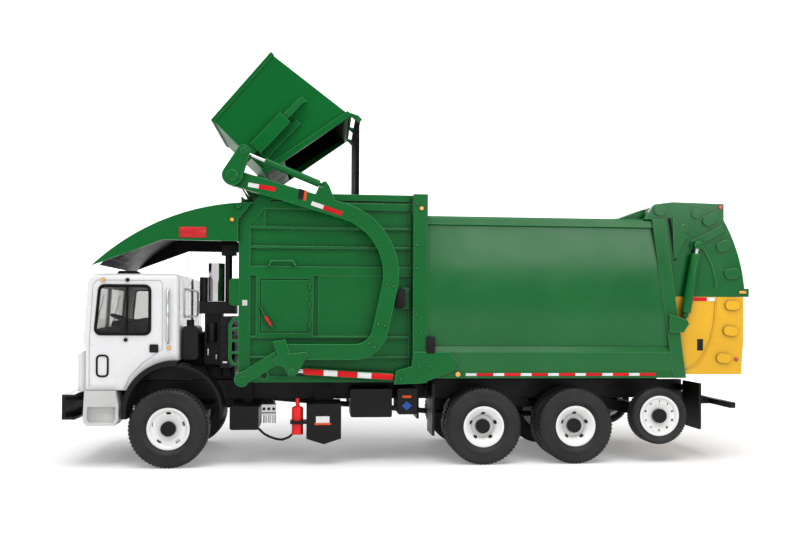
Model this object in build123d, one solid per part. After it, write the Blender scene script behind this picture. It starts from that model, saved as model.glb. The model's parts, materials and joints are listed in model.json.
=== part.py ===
"""Die-cast scale model of a front-loading garbage truck, in millimetres.

Stations (x) are measured rearward from the bumper's face, heights (z) from the floor, and
y to the truck's right. At export the origin moves to mid length, on the floor.
"""

from build123d import *
import math
import os

# Overall
LENGTH = 280.0            # bumper face to the lip of the tailgate
GAP = 0.1                 # between fixed pieces that sit against each other
RUN = 0.05                # radial running clearance of pins in bores
SLIDE = 0.3               # side clearance between moving pieces

# Wheels
TYRE_R = 15.5
RIM_R = 8.35
WHEEL_FACE = 36.0         # half the width over the tyres
FRONT_TYRE_W = 9.0
TYRE_W = 7.4
DUAL_GAP = 1.2
TAG_TYRE_R = 11.8
PIN_R = 1.2
HUB_R = 2.9
FRONT_AXLE_X = 40.9
DRIVE_AXLE_X = (166.6, 204.9)
TAG_X = 240.6
TAG_Z = 19.5              # the tag axle is stored lifted

# Chassis
RAIL_Y = 14.0             # outer face of a rail
RAIL_W = 3.0
RAIL_T = 0.9
RAIL_BOTTOM = 25.0
RAIL_TOP = 33.0
RAIL_FRONT = 8.7
RAIL_REAR = 259.4
BUMPER_HALF = 33.4
BUMPER_BOTTOM = 19.2
BUMPER_TOP = 29.0
BUMPER_DEEP = 5.0
BUMPER_T = 1.3

DISPLAY_BOSS_X = (29.5, 251.5)

# Cab
CAB_HALF = 32.0
CAB_T = 1.6
CAB_BOTTOM = 30.5
CAB_TOP = 76.6
CAB_REAR = 44.3
CAB_FRONT = 8.6
ARCH_X, ARCH_Z, ARCH_R = 43.0, 22.0, 20.2
ARCH_T = 2.0
REAR_ARCH_R = 18.9
REAR_ARCH_T = 1.2
ARCH_LINING_T = 0.8
ARCH_FOOT = 19.4
WINDOW_BOTTOM, WINDOW_TOP = 52.7, 71.7
WINDOW_FRONT, WINDOW_REAR = 12.0, 33.0
WINDOW_LEAN = 1.8         # the window's front edge leans back by this much
GLASS_T = 0.8
CAB_FLOOR_Z = 42.8
NOSE_FRONT = 4.3
PILLAR = 3.4              # cab corner beside the windscreen
NOSE_HALF = CAB_HALF - 3.0
SEAT_W = 15.5
SEAT_IN = 4.4             # between a seat and the cab's wall
NOSE_TOP = 45.9

# Hopper and body
HOPPER_FRONT = 67.5
HOPPER_HALF = 31.4
HOPPER_T = 1.5
HOPPER_TOP = 109.5
HOPPER_BOTTOM = 33.5
CHAMFER_Z = 98.5
CHAMFER_X = 76.5
PRESS = 0.6               # depth of the pressed panels
RIB = 0.35                # height of the ribs over the sheet
POST_FRONT = 137.2
POST_REAR = 143.0
POST_HALF = 36.5
BODY_HALF = 36.0
BODY_WALL = 2.0
BODY_TOP = 101.0
BODY_BOTTOM = 35.3
PANEL_BOTTOM, PANEL_TOP = 48.5, 97.0
SEAM_TOP = (242.2, 103.5)     # the tailgate meets the body on this slanting line
SEAM_FOOT = (251.8, 36.6)
FLOOR_TOP = 37.0
CANOPY_HALF = 33.4
CANOPY_T = 1.3

# Lift arms
ARM_IN, ARM_OUT = 36.0, 39.0
ARM_PIVOT = (69.6, 35.2)
ARM_PIVOT_R = 1.6
ARM_W = 6.2
ARM_ELBOW, ELBOW_R = (132.6, 95.2), 26.0
ARM_KNEE, KNEE_R = (122.0, 46.0), 10.5
ARM_FOOT = (86.0, 46.0)
CHEEK_T = 0.5             # plates welded on an arm's outer face
LIFT_PIN = (89.0, 38.3)
LIFT_BASE = (132.0, 35.6)
LIFT_Y = 33.7             # middle plane of a lift cylinder
LIFT_R = 1.75
LIFT_ROD_R = 0.95
FORK_SHAFT = (65.7, 114.9)
FORK_SHAFT_R = 1.5
CRANK_PIN = (70.0, 124.3)
CRANK_T = 1.4
TILT_BASE = (101.3, 111.8)
TILT_Y = 37.5
TILT_R = 1.4
TILT_ROD_R = 0.75

# Bin, laid out on its own base line: u along the base, v up its walls
BIN_CORNER = (56.4, 139.1)
BIN_TILT = 47.5
BIN_HALF = 26.0
BIN_DEEP = 36.2
BIN_BASE_FALL = 1.6       # the base drops by this much towards the tall wall
BIN_LOW_WALL = 29.8
BIN_LOW_FLARE = 0.8       # how far each wall leans out at its top
BIN_TALL_WALL = 38.8
BIN_TALL_FLARE = 4.0
BIN_T = 1.2
TINE_Y = (28.0, 30.4)
TINE_V = (18.8, 21.8)
TINE_TIP = 31.4
SLEEVE_U = (3.0, 20.5)
SLEEVE_T = 0.5
LID_HINGE = (BIN_DEEP + BIN_TALL_FLARE + 1.0, BIN_TALL_WALL + 3.0)
LID_T = 1.6
LID_LONG = 36.5
LID_LAP = 1.7             # lid tip over the ledge that it closes on
LID_ROD_R = 0.6

# Tailgate
GATE_HALF = 33.6
GATE_T = 1.6
GATE_PIN = (239.6, 104.8)
GATE_PIN_R = 1.5
GATE_SPLIT = 69.2         # the yellow lower half ends here
GATE_LIP_TOP = 72.7
GATE_RAISED = 0.8         # height of the pressed ovals
GATE_BASE = (250.7, 58.6)
GATE_ROD_PIN = (256.4, 90.6)
GATE_CYL_Y = 35.6
GATE_CYL_R = 1.35
GATE_ROD_R = 0.8


def seam_x(z):
    """Station of the slanting seam between body and tailgate at height z."""
    (x0, z0), (x1, z1) = SEAM_TOP, SEAM_FOOT
    return x0 + (z0 - z) * (x1 - x0) / (z0 - z1)


def bin_point(u, v):
    """Side-view point of a place in the bin's own frame."""
    a = math.radians(BIN_TILT)
    x0, z0 = BIN_CORNER
    return (x0 + u * math.cos(a) + v * math.sin(a), z0 + u * math.sin(a) - v * math.cos(a))


def outline(points, radius=0):
    """Closed side-view outline, with every corner rounded when a radius is given."""
    face = make_face(Polyline(*points, close=True))
    return fillet(face.vertices(), radius) if radius else face


def disc(centre, r):
    return Pos(*centre) * Circle(r)


def slab(face, y0, y1):
    """A side-view face made solid from y0 to y1."""
    return extrude(Plane.XZ.offset(-y1) * face, amount=y1 - y0)


def block(x0, x1, y0, y1, z0, z1):
    return Pos((x0 + x1) / 2, (y0 + y1) / 2, (z0 + z1) / 2) * Box(x1 - x0, y1 - y0, z1 - z0)


def rod(start, end, r, y):
    """Round bar between two side-view points at width y."""
    (x0, z0), (x1, z1) = start, end
    run = Vector(x1 - x0, 0, z1 - z0)
    return extrude(Plane(origin=(x0, y, z0), z_dir=run) * Circle(r), amount=run.length)


def along(start, end, distance):
    """Side-view point at a distance from start towards end."""
    (x0, z0), (x1, z1) = start, end
    long = math.hypot(x1 - x0, z1 - z0)
    return (x0 + (x1 - x0) * distance / long, z0 + (z1 - z0) * distance / long)


def pair(shape):
    """A left-hand piece and its mirror image."""
    return [shape, mirror(shape, about=Plane.XZ)]


def turned(points_r_y):
    """Ring turned about the y axis from an (r, y) section."""
    return revolve(Plane.XY * make_face(Polyline(*points_r_y, close=True)), axis=Axis.Y)


def tyre(radius, width):
    """Tyre centred on the origin, axle along y."""
    bead, half, shoulder = 0.36 * width, width / 2, 0.46 * width
    inner = RIM_R + 0.02
    line = Line((inner, -bead), (inner, bead))
    line += ThreePointArc((inner, bead), ((inner + radius) / 2, half), (radius - 1.0, shoulder))
    line += Polyline((radius - 1.0, shoulder), (radius, 0.37 * width),
                     (radius, -0.37 * width), (radius - 1.0, -shoulder))
    line += ThreePointArc((radius - 1.0, -shoulder), ((inner + radius) / 2, -half), (inner, -bead))
    return revolve(Plane.XY * make_face(line), axis=Axis.Y)


def rim(width, dish, holes, hole_long, hole_high, hole_ring):
    """Steel wheel whose outer face is at y = -width/2; the disc lies `dish` mm inside it."""
    bead = 0.36 * width
    face = -bead - 0.3
    lip, well, disc_t, bore = 0.9, 7.2, 0.9, PIN_R + 0.02
    level = face + 0.7 + dish
    section = [(RIM_R, face), (RIM_R, bead), (well, bead), (well, level + disc_t), (bore, level + disc_t),
               (bore, level), (HUB_R + 1.4, level), (well - 0.5, face + 0.7), (RIM_R - lip, face)]
    wheel = turned(section)
    for k in range(holes):
        hole = Pos(0, hole_ring) * RectangleRounded(hole_long, hole_high, 0.45 * hole_high)
        wheel -= slab(Rot(0, 0, 360 * k / holes) * hole, face - 1, bead + 1)
    return wheel


def make_wheels():
    """Tyres, rims and steel pins, one set for each axle."""
    nodes = {}
    half_front = WHEEL_FACE - FRONT_TYRE_W / 2
    half_out = WHEEL_FACE - TYRE_W / 2
    half_in = half_out - TYRE_W - DUAL_GAP
    # name, station, height, tyre radius, tyre width, tyre middles, disc dish, then of the disc's holes
    # their number, length, height and ring radius
    axles = (
        ("front", FRONT_AXLE_X, TYRE_R, TYRE_R, FRONT_TYRE_W, (half_front,), 0.5, 5, 1.9, 0.9, 6.1),
        ("drive_one", DRIVE_AXLE_X[0], TYRE_R, TYRE_R, TYRE_W, (half_out, half_in), 2.4, 5, 1.7, 1.1, 5.3),
        ("drive_two", DRIVE_AXLE_X[1], TYRE_R, TYRE_R, TYRE_W, (half_out, half_in), 2.4, 5, 1.7, 1.1, 5.3),
        ("tag", TAG_X, TAG_Z, TAG_TYRE_R, TYRE_W, (half_out,), 0.3, 10, 0.9, 0.9, 6.0),
    )
    for name, x, z, radius, width, middles, dish, holes, long, high, ring in axles:
        place = Pos(x, 0, z)
        tyres, rims = [], []
        for k, middle in enumerate(middles):
            tyres += pair(place * Pos(0, -middle, 0) * tyre(radius, width))
            wheel = rim(width, dish if k == 0 else 0.6, holes, long, high, ring)
            wheel = wheel if k == 0 else mirror(wheel, about=Plane.XZ)
            rims += pair(place * Pos(0, -middle, 0) * wheel)
        face = middles[0] + 0.36 * width + 0.3
        disc_y = face - 0.7 - dish
        pin = place * slab(Circle(PIN_R), -disc_y - 0.3, disc_y + 0.3)
        for cap in pair(place * slab(Circle(HUB_R), -disc_y - 1.6, -disc_y - 0.05)):
            pin += cap
        nodes[f"{name}_tyres"] = tyres
        nodes[f"{name}_rims"] = rims
        nodes[f"{name}_axle_pin"] = [pin]
    return nodes


def make_chassis():
    """Ladder frame, bumper, axles, springs and driveline."""
    nodes = {}
    inner = RAIL_Y - RAIL_W
    rail = block(RAIL_FRONT, RAIL_REAR, inner, RAIL_Y, RAIL_BOTTOM, RAIL_TOP)
    rail -= block(RAIL_FRONT - 1, RAIL_REAR + 1, inner - 1, RAIL_Y - RAIL_T,
                  RAIL_BOTTOM + RAIL_T, RAIL_TOP - RAIL_T)
    frame = rail + mirror(rail, about=Plane.XZ)
    for x in (10.0, 28.0, 92.0, 130.0, 152.0, 186.0, 222.0, 250.0):
        frame += block(x, x + 3, RAIL_T - RAIL_Y, RAIL_Y - RAIL_T, RAIL_BOTTOM + 1.5, RAIL_TOP - 1.5)
    nodes["ladder_frame"] = [frame]

    bumper = block(0, BUMPER_DEEP, -BUMPER_HALF, BUMPER_HALF, BUMPER_BOTTOM, BUMPER_TOP)
    bumper -= block(BUMPER_T, BUMPER_DEEP + 1, -BUMPER_HALF - 1, BUMPER_HALF + 1,
                    BUMPER_BOTTOM + 1.0, BUMPER_TOP - 1.0)
    for arm in pair(block(BUMPER_T, RAIL_FRONT, inner, RAIL_Y, RAIL_BOTTOM, BUMPER_TOP - 1.0)):
        bumper += arm
    nodes["front_bumper"] = [bumper]

    bore = PIN_R + RUN
    spring_in, spring_out = inner + 0.3, RAIL_Y - 0.3
    wheel_in = WHEEL_FACE - FRONT_TYRE_W
    beam_half = 22.0
    beam_t = 2.5
    beam = block(FRONT_AXLE_X - beam_t, FRONT_AXLE_X + beam_t, -beam_half, beam_half,
                 TYRE_R - beam_t, TYRE_R + beam_t)
    for knuckle in pair(slab(disc((FRONT_AXLE_X, TYRE_R), 3.4), -wheel_in - 0.6, -beam_half)):
        beam += knuckle
    beam -= slab(disc((FRONT_AXLE_X, TYRE_R), bore), -WHEEL_FACE, WHEEL_FACE)
    nodes["front_axle_beam"] = [beam]

    seat = TYRE_R + beam_t
    half_spring = 18.4
    a, b = FRONT_AXLE_X - half_spring, FRONT_AXLE_X + half_spring
    leaf = Line((a, seat + 6.4), (a, seat + 4.8))
    leaf += ThreePointArc((a, seat + 4.8), (FRONT_AXLE_X, seat + 0.6), (b, seat + 4.8))
    leaf += Line((b, seat + 4.8), (b, seat + 6.4))
    leaf += ThreePointArc((b, seat + 6.4), (FRONT_AXLE_X, seat + 3.2), (a, seat + 6.4))
    spring = slab(make_face(leaf), spring_in, spring_out)
    spring += block(FRONT_AXLE_X - 2.5, FRONT_AXLE_X + 2.5, spring_in, spring_out, seat, seat + 1.6)
    for x in (a, b - 3.0):
        spring += block(x, x + 3.0, spring_in, spring_out, seat + 5.2, RAIL_BOTTOM)
    springs = pair(spring)

    housings = []
    tube_half = WHEEL_FACE - 2 * TYRE_W - DUAL_GAP - 0.6
    tube_r, diff_r, nose_r, nose_long = 3.0, 5.8, 2.4, 9.5
    for x in DRIVE_AXLE_X:
        housing = slab(disc((x, TYRE_R), tube_r), -tube_half, tube_half)
        housing += Pos(x, 0, TYRE_R) * Sphere(diff_r)
        nose_at = Plane(origin=(x - nose_long, 0, TYRE_R + 1), z_dir=(1, 0, 0))
        housing += extrude(nose_at * Circle(nose_r), amount=nose_long)
        housing -= slab(disc((x, TYRE_R), bore), -WHEEL_FACE, WHEEL_FACE)
        housings.append(housing)

    top = TYRE_R + tube_r + GAP
    a, b = DRIVE_AXLE_X[0] - 3.0, DRIVE_AXLE_X[1] + 3.0
    mid = (a + b) / 2
    leaf = Line((a, top + 1.8), (a, top))
    leaf += ThreePointArc((a, top), (mid, top + 2.6), (b, top))
    leaf += Line((b, top), (b, top + 1.8))
    leaf += ThreePointArc((b, top + 1.8), (mid, top + 5.2), (a, top + 1.8))
    spring = slab(make_face(leaf), spring_in, spring_out)
    spring += block(mid - 4.5, mid + 4.5, spring_in, spring_out, top + 4.0, RAIL_BOTTOM)
    nodes["leaf_springs"] = springs + pair(spring)

    tag_half = WHEEL_FACE - TYRE_W - 1.0
    tag = slab(disc((TAG_X, TAG_Z), 2.4), -tag_half, tag_half)
    pivot_x = TAG_X - 19.0
    arm = outline([(pivot_x - 2, RAIL_BOTTOM), (pivot_x + 3, RAIL_BOTTOM), (TAG_X, TAG_Z + 2.2),
                   (TAG_X + 1.5, TAG_Z - 1.5), (TAG_X - 1.5, TAG_Z - 2.2), (pivot_x - 1, RAIL_BOTTOM - 4)])
    for side in pair(slab(arm, spring_in, spring_out)):
        tag += side
    tag -= slab(disc((TAG_X, TAG_Z), bore), -WHEEL_FACE, WHEEL_FACE)
    nodes["rear_axle_housings"] = housings + [tag]

    engine_half = inner - 0.6
    engine = block(46.2, 64.0, -engine_half, engine_half, 21.0, 50.0)
    engine += block(64.0, 80.0, -7.0, 7.0, 21.5, 32.0)
    engine += block(48.5, 61.5, -8.0, 8.0, 50.0, 53.0)
    surge_x, surge_top, surge_y = 48.1, 55.9, (-28.0, -15.0)
    surge = block(surge_x - 3.1, surge_x + 3.1, *surge_y, 42.2, surge_top)
    surge = fillet(surge.edges().filter_by(Axis.Y), 1.6)
    surge += Pos(surge_x - 0.8, -22.0, surge_top + 1.2) * Cylinder(1.5, 2.4)
    engine += surge + block(surge_x - 1.8, surge_x + 1.8, surge_y[1], -engine_half, 44.0, 48.0)
    engine += block(59.6, 63.4, -24.0, 24.0, 38.6, 59.8)
    # station, height, radius and outer y of the pulleys
    for x, z, r, y in ((50.4, 36.6, 2.6, -14.0), (56.6, 36.4, 2.2, -13.0), (61.2, 36.2, 1.8, -14.6)):
        engine += slab(disc((x, z), r), y, -engine_half)

    shaft_r = 1.2
    front = Vector(80.2, 0, 24.0)
    rear = Vector(DRIVE_AXLE_X[0] - 9.7, 0, TYRE_R + 1.6)
    shaft = extrude(Plane(origin=front, z_dir=rear - front) * Circle(shaft_r), amount=(rear - front).length)
    link = extrude(Plane(origin=(DRIVE_AXLE_X[0] + 5.9, 0, TYRE_R + 1), z_dir=(1, 0, 0)) * Circle(shaft_r),
                   amount=DRIVE_AXLE_X[1] - DRIVE_AXLE_X[0] - 15.6)
    nodes["engine_and_driveline"] = [engine, shaft, link]
    return nodes


def make_chassis_fittings():
    """Tanks, boxes, stack, mud flaps and the rear guard that hang on the frame."""
    nodes = {}
    hang = RAIL_Y + GAP
    # first station, last station, inner y, outer y, bottom, top
    boxes = (
        (64.4, 75.8, hang, 33.0, 14.6, 24.0),
        (112.5, 129.5, hang, 30.0, 19.0, 30.5),
        (131.5, 139.5, hang, 33.5, 20.5, 31.0),
    )
    cases = []
    for x0, x1, y0, y1, z0, z1 in boxes:
        case = fillet(block(x0, x1, y0, y1, z0, z1).edges().filter_by(Axis.Y), 0.8)
        cases.append(case + block((x0 + x1) / 2 - 2, (x0 + x1) / 2 + 2, hang, hang + 2, z1 - 1, RAIL_TOP - 1))
    left = [mirror(case, about=Plane.XZ) for case in cases]
    nodes["chassis_boxes"] = left + [cases[1]]

    tank_front, tank_rear, tank_top = 94.8, 108.7, 24.9
    tank = outline([(tank_front, tank_top), (tank_rear, tank_top), (tank_rear, 11.0),
                    ((tank_front + tank_rear) / 2, 8.8), (tank_front, 11.0)])
    tank = slab(tank, -34.0, -hang)
    tank += block(tank_front + 3, tank_rear - 3, -hang - 3, -hang, tank_top, RAIL_TOP - 1)

    bottle_r, bottle_y = 2.3, -31.5
    bottle_x = tank_front - bottle_r - 1.3
    bottle = Pos(bottle_x, bottle_y, 18.2) * Cylinder(bottle_r, 11.2)
    bottle = fillet(bottle.edges().sort_by(Axis.Z)[-1:], 1.0)
    bottle += Pos(bottle_x, bottle_y, 25.4) * Cylinder(0.8, 3.4)
    nodes["fire_extinguisher"] = [bottle]
    reach = bottle_r + 0.6
    strap = block(bottle_x - reach, tank_front, bottle_y - reach, bottle_y + reach, 17.0, 18.2)
    strap -= Pos(bottle_x, bottle_y, 18.0) * Cylinder(bottle_r + 0.05, 20)
    nodes["hydraulic_tank"] = [tank + strap]

    valve = block(77.0, 82.5, -32.0, -27.0, 20.2, 24.6)
    for x in (78.2, 80.0, 81.8):
        valve += Pos(x, -30.5, 18.7) * Cylinder(0.7, 3.2)
    valve += block(78.5, 81.5, -27.0, -hang, 22.4, 24.2)
    nodes["valve_block"] = [valve]

    stack_x, stack_y, stack_r, stack_top = 56.9, -15.5, 3.4, 81.7
    shelf_top = 65.9
    tall, bore_r = stack_top - shelf_top, stack_r - 0.6
    stack = turned([(0, 0), (stack_r, 0), (stack_r, tall), (bore_r, tall), (bore_r, 6.0), (0, 6.0)])
    nodes["exhaust_stack"] = [Pos(stack_x, stack_y, shelf_top + GAP) * Rot(90, 0, 0) * stack]
    intake = block(50.5, 65.2, -20.5, -10.5, 60.8, shelf_top)
    intake += block(52.5, 59.4, -18.5, -engine_side(), 40.0, 60.8)
    # station, radius and top of the upright pipes on the shelf
    for x, r, top in ((51.7, 1.7, 76.0), (61.9, 1.45, 86.0)):
        intake += extrude(Plane(origin=(x, stack_y, shelf_top - 1)) * Circle(r), amount=top - shelf_top + 1)
    intake += block(59.2, 64.9, -18.5, -12.5, 85.1, 89.2)
    nodes["air_intake"] = [intake]

    flap_t = 1.0
    flaps = []
    for x, z0 in ((145.4, 12.0), (257.7, 13.8)):
        flap = block(x, x + flap_t, -WHEEL_FACE + 1, -19.0, z0, 33.0)
        flap += block(x - 1.0, x + flap_t + 1.0, -19.2, -hang, 28.5, 31.0)
        flaps += pair(flap)
    nodes["mud_flaps"] = flaps

    guard_x, guard_z, guard_bar = 272.8, 22.2, 2.4
    below = RAIL_BOTTOM - GAP
    guard = outline([(RAIL_REAR - 4, below), (RAIL_REAR + 1, below), (RAIL_REAR + 4, below + 2.6),
                     (guard_x, guard_z + guard_bar), (guard_x, guard_z), (RAIL_REAR + 2, guard_z - 0.2),
                     (RAIL_REAR - 4, guard_z - 0.2)])
    rear_guard = slab(guard, -RAIL_Y + 0.2, -RAIL_Y + 2.8)
    rear_guard += mirror(rear_guard, about=Plane.XZ)
    rear_guard += block(guard_x, guard_x + guard_bar, -CAB_HALF, CAB_HALF, guard_z, guard_z + guard_bar)
    nodes["rear_guard"] = [rear_guard]

    boss_r, boss_bore = 2.6, 1.25
    bosses = []
    for x in DISPLAY_BOSS_X:
        boss = Pos(x, 0, RAIL_BOTTOM - 1.25) * Cylinder(boss_r, 5.5)
        bosses.append(boss - Pos(x, 0, RAIL_BOTTOM - 1.25) * Cylinder(boss_bore, 5.5))
    nodes["display_screw_bosses"] = bosses
    return nodes


def engine_side():
    return RAIL_Y - RAIL_W - 0.6 + GAP


def side_window():
    return outline([(WINDOW_FRONT, WINDOW_BOTTOM), (WINDOW_FRONT + WINDOW_LEAN, WINDOW_TOP),
                    (WINDOW_REAR, WINDOW_TOP), (WINDOW_REAR, WINDOW_BOTTOM)], 1.8)


def screen_x(z):
    """Station of the sloping windscreen at height z."""
    return 7.6 + (z - 50.0) * 1.6 / 23.0


def make_cab():
    """White cab shell with its glass, nose, arches, steps and inside."""
    nodes = {}
    profile = [(CAB_FRONT, CAB_BOTTOM), (CAB_FRONT, 46.0), (screen_x(50.0), 50.0), (screen_x(73.0), 73.0),
               (11.4, CAB_TOP), (CAB_REAR, CAB_TOP), (CAB_REAR, CAB_BOTTOM)]
    shell = slab(outline(profile), -CAB_HALF, CAB_HALF)
    roof_edges = shell.edges().filter_by(Axis.X).sort_by(Axis.Z)[-2:]
    shell = fillet(roof_edges, 2.2)
    rear_edges = shell.edges().filter_by(Axis.Z).sort_by(Axis.X)[-2:]
    shell = fillet(rear_edges, 2.0)
    inside = [(CAB_FRONT + CAB_T, CAB_BOTTOM - 1), (CAB_FRONT + CAB_T, 46.0), (screen_x(50.0) + CAB_T, 50.0),
              (screen_x(73.0) + CAB_T, 73.0), (12.2, CAB_TOP - CAB_T), (CAB_REAR - CAB_T, CAB_TOP - CAB_T),
              (CAB_REAR - CAB_T, CAB_BOTTOM - 1)]
    shell -= slab(outline(inside), CAB_T - CAB_HALF, CAB_HALF - CAB_T)
    shell -= slab(disc((ARCH_X, ARCH_Z), ARCH_R + GAP), -CAB_HALF - 1, CAB_HALF + 1)
    shell -= slab(side_window(), -CAB_HALF - 1, CAB_HALF + 1)
    shell -= block(CAB_FRONT - 1, CAB_FRONT + 3, -RAIL_Y - 0.5, RAIL_Y + 0.5, CAB_BOTTOM - 1, RAIL_TOP + 0.2)
    screen_half = CAB_HALF - PILLAR
    screen_low, screen_high, mullion = 53.0, 71.5, 0.8
    for cut in pair(block(5.0, 12.0, mullion, screen_half, screen_low, screen_high)):
        shell -= cut
    rear_w, rear_h, rear_z = 2 * CAB_HALF - 26.0, 11.4, 65.2
    rear_glass = Plane(origin=(CAB_REAR, 0, rear_z), z_dir=(1, 0, 0)) * RectangleRounded(rear_w, rear_h, 1.5)
    shell -= extrude(rear_glass, amount=5, both=True)
    nodes["cab_shell"] = [shell]

    panes = pair(slab(offset(side_window(), -0.1), -CAB_HALF + 0.4, -CAB_HALF + 0.4 + GLASS_T))
    low, high, set_in = screen_low + GAP, screen_high - GAP, 0.4
    screen = outline([(screen_x(low) + set_in, low), (screen_x(high) + set_in, high),
                      (screen_x(high) + set_in + GLASS_T, high), (screen_x(low) + set_in + GLASS_T, low)])
    panes += pair(slab(screen, -screen_half + GAP, -mullion - GAP))
    rear_at = Plane(origin=(CAB_REAR - 0.5, 0, rear_z), z_dir=(-1, 0, 0))
    panes.append(extrude(rear_at * RectangleRounded(rear_w - 2 * GAP, rear_h - 2 * GAP, 1.4), amount=GLASS_T))
    nodes["cab_glass"] = panes

    nose_low = 29.8
    nose_side = [(NOSE_FRONT, nose_low), (NOSE_FRONT, 44.0), (7.0, NOSE_TOP), (CAB_FRONT - GAP, NOSE_TOP),
                 (CAB_FRONT - GAP, nose_low)]
    nose = slab(outline(nose_side), -NOSE_HALF, NOSE_HALF)
    nose = fillet(nose.edges().filter_by(Axis.Z).sort_by(Axis.X)[:2], 2.0)
    nose -= block(NOSE_FRONT - 1, NOSE_FRONT + 1.2, -17.5, 17.5, 31.5, 43.5)
    for y in (-23.6, 23.6):
        nose -= block(NOSE_FRONT - 1, NOSE_FRONT + 1.2, y - 4.0, y + 4.0, 33.0, 37.5)
    nodes["cab_nose"] = [nose]

    grille = block(NOSE_FRONT + 0.8, NOSE_FRONT + 1.2 - 0.05, -17.4, 17.4, 31.6, 43.4)
    for k in range(7):
        z = 32.6 + 1.6 * k
        grille += block(NOSE_FRONT + 0.1, NOSE_FRONT + 0.8, -17.4, 17.4, z, z + 0.6)
    nodes["grille"] = [grille]
    lamps = []
    for y in (-25.6, -21.6, 21.6, 25.6):
        lamps.append(block(NOSE_FRONT + 0.1, NOSE_FRONT + 1.15, y - 1.9, y + 1.9, 33.1, 37.4))
    nodes["headlamps"] = lamps

    arch_out, arch_in = CAB_HALF + 3.4, CAB_HALF - 9.0
    centre = (ARCH_X, ARCH_Z)
    low = ARCH_Z - ARCH_R - 1
    flare = slab(disc(centre, ARCH_R), -arch_out, -arch_in)
    flare -= slab(disc(centre, ARCH_R - ARCH_T), -arch_out - 1, 0)
    flare -= block(CAB_REAR, ARCH_X + ARCH_R + 1, -arch_out - 1, 0, low, ARCH_Z + ARCH_R + 1)
    fender = slab(disc(centre, REAR_ARCH_R), -arch_out + 0.8, -arch_in)
    fender -= slab(disc(centre, REAR_ARCH_R - REAR_ARCH_T), -arch_out, 0)
    fender -= block(ARCH_X - ARCH_R - 1, CAB_REAR - 0.5, -arch_out - 1, 0, low, ARCH_Z + ARCH_R + 1)
    lining = slab(disc(centre, REAR_ARCH_R - REAR_ARCH_T / 2), -arch_in - ARCH_LINING_T, -arch_in)
    lining -= block(ARCH_X - ARCH_R, ARCH_X + ARCH_R, -arch_out, 0, low, RAIL_TOP + 1)
    ring = flare + fender + lining
    ring -= block(ARCH_X - ARCH_R - 1, ARCH_X + ARCH_R + 1, -arch_out - 1, 0, low, ARCH_FOOT)
    nodes["wheel_arches"] = pair(ring)

    step = outline([(9.6, 16.8), (8.0, 18.6), (8.6, CAB_BOTTOM - GAP), (20.4, CAB_BOTTOM - GAP), (21.6, 25.0),
                    (21.6, 19.0), (20.0, 16.8)])
    step_out = CAB_HALF + 2.0
    step_box = slab(step, -step_out, -step_out + 10.0)
    recess = outline([(10.4, 18.0), (9.6, 19.2), (9.6, 24.2), (20.4, 24.2), (20.4, 19.4), (19.4, 18.0)])
    step_box -= slab(recess, -step_out - 1.0, -step_out + 2.5)
    nodes["cab_steps"] = pair(step_box)

    floor_half = CAB_HALF - CAB_T - GAP
    inside_front, inside_rear = CAB_FRONT + CAB_T + GAP, CAB_REAR - CAB_T - GAP
    cab_in = block(inside_front, inside_rear, -floor_half, floor_half, CAB_FLOOR_Z, CAB_FLOOR_Z + 1.2)
    cab_in += block(16.0, inside_rear, -8.5, 8.5, CAB_FLOOR_Z + 1.2, 53.0)
    cab_in += slab(outline([(10.6, CAB_FLOOR_Z + 1.2), (10.6, 52.0), (12.8, 54.8), (15.4, 54.4), (17.4, 50.5),
                           (17.0, CAB_FLOOR_Z + 1.2)]),
                   -floor_half, floor_half)
    floor_z = CAB_FLOOR_Z + 1.2
    seat_side = outline([(25.0, floor_z), (25.0, 50.0), (35.0, 49.4), (37.0, 66.5), (40.0, 66.5),
                         (39.4, floor_z)])
    seat_out = floor_half - SEAT_IN
    seat = slab(seat_side, -seat_out, -seat_out + SEAT_W)
    for side in pair(seat):
        cab_in += side
    nodes["cab_inside"] = [cab_in]
    wheel_at = Plane(origin=(20.4, -seat_out + SEAT_W / 2, 58.2), z_dir=(0.36, 0, 0.93))
    steering = wheel_at * Torus(5.6, 0.55)
    steering += wheel_at * Box(10.8, 0.9, 0.5)
    steering += extrude(wheel_at * Circle(0.7), amount=-8.8)
    steering -= cab_in
    nodes["steering_wheel"] = [steering]
    return nodes


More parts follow.
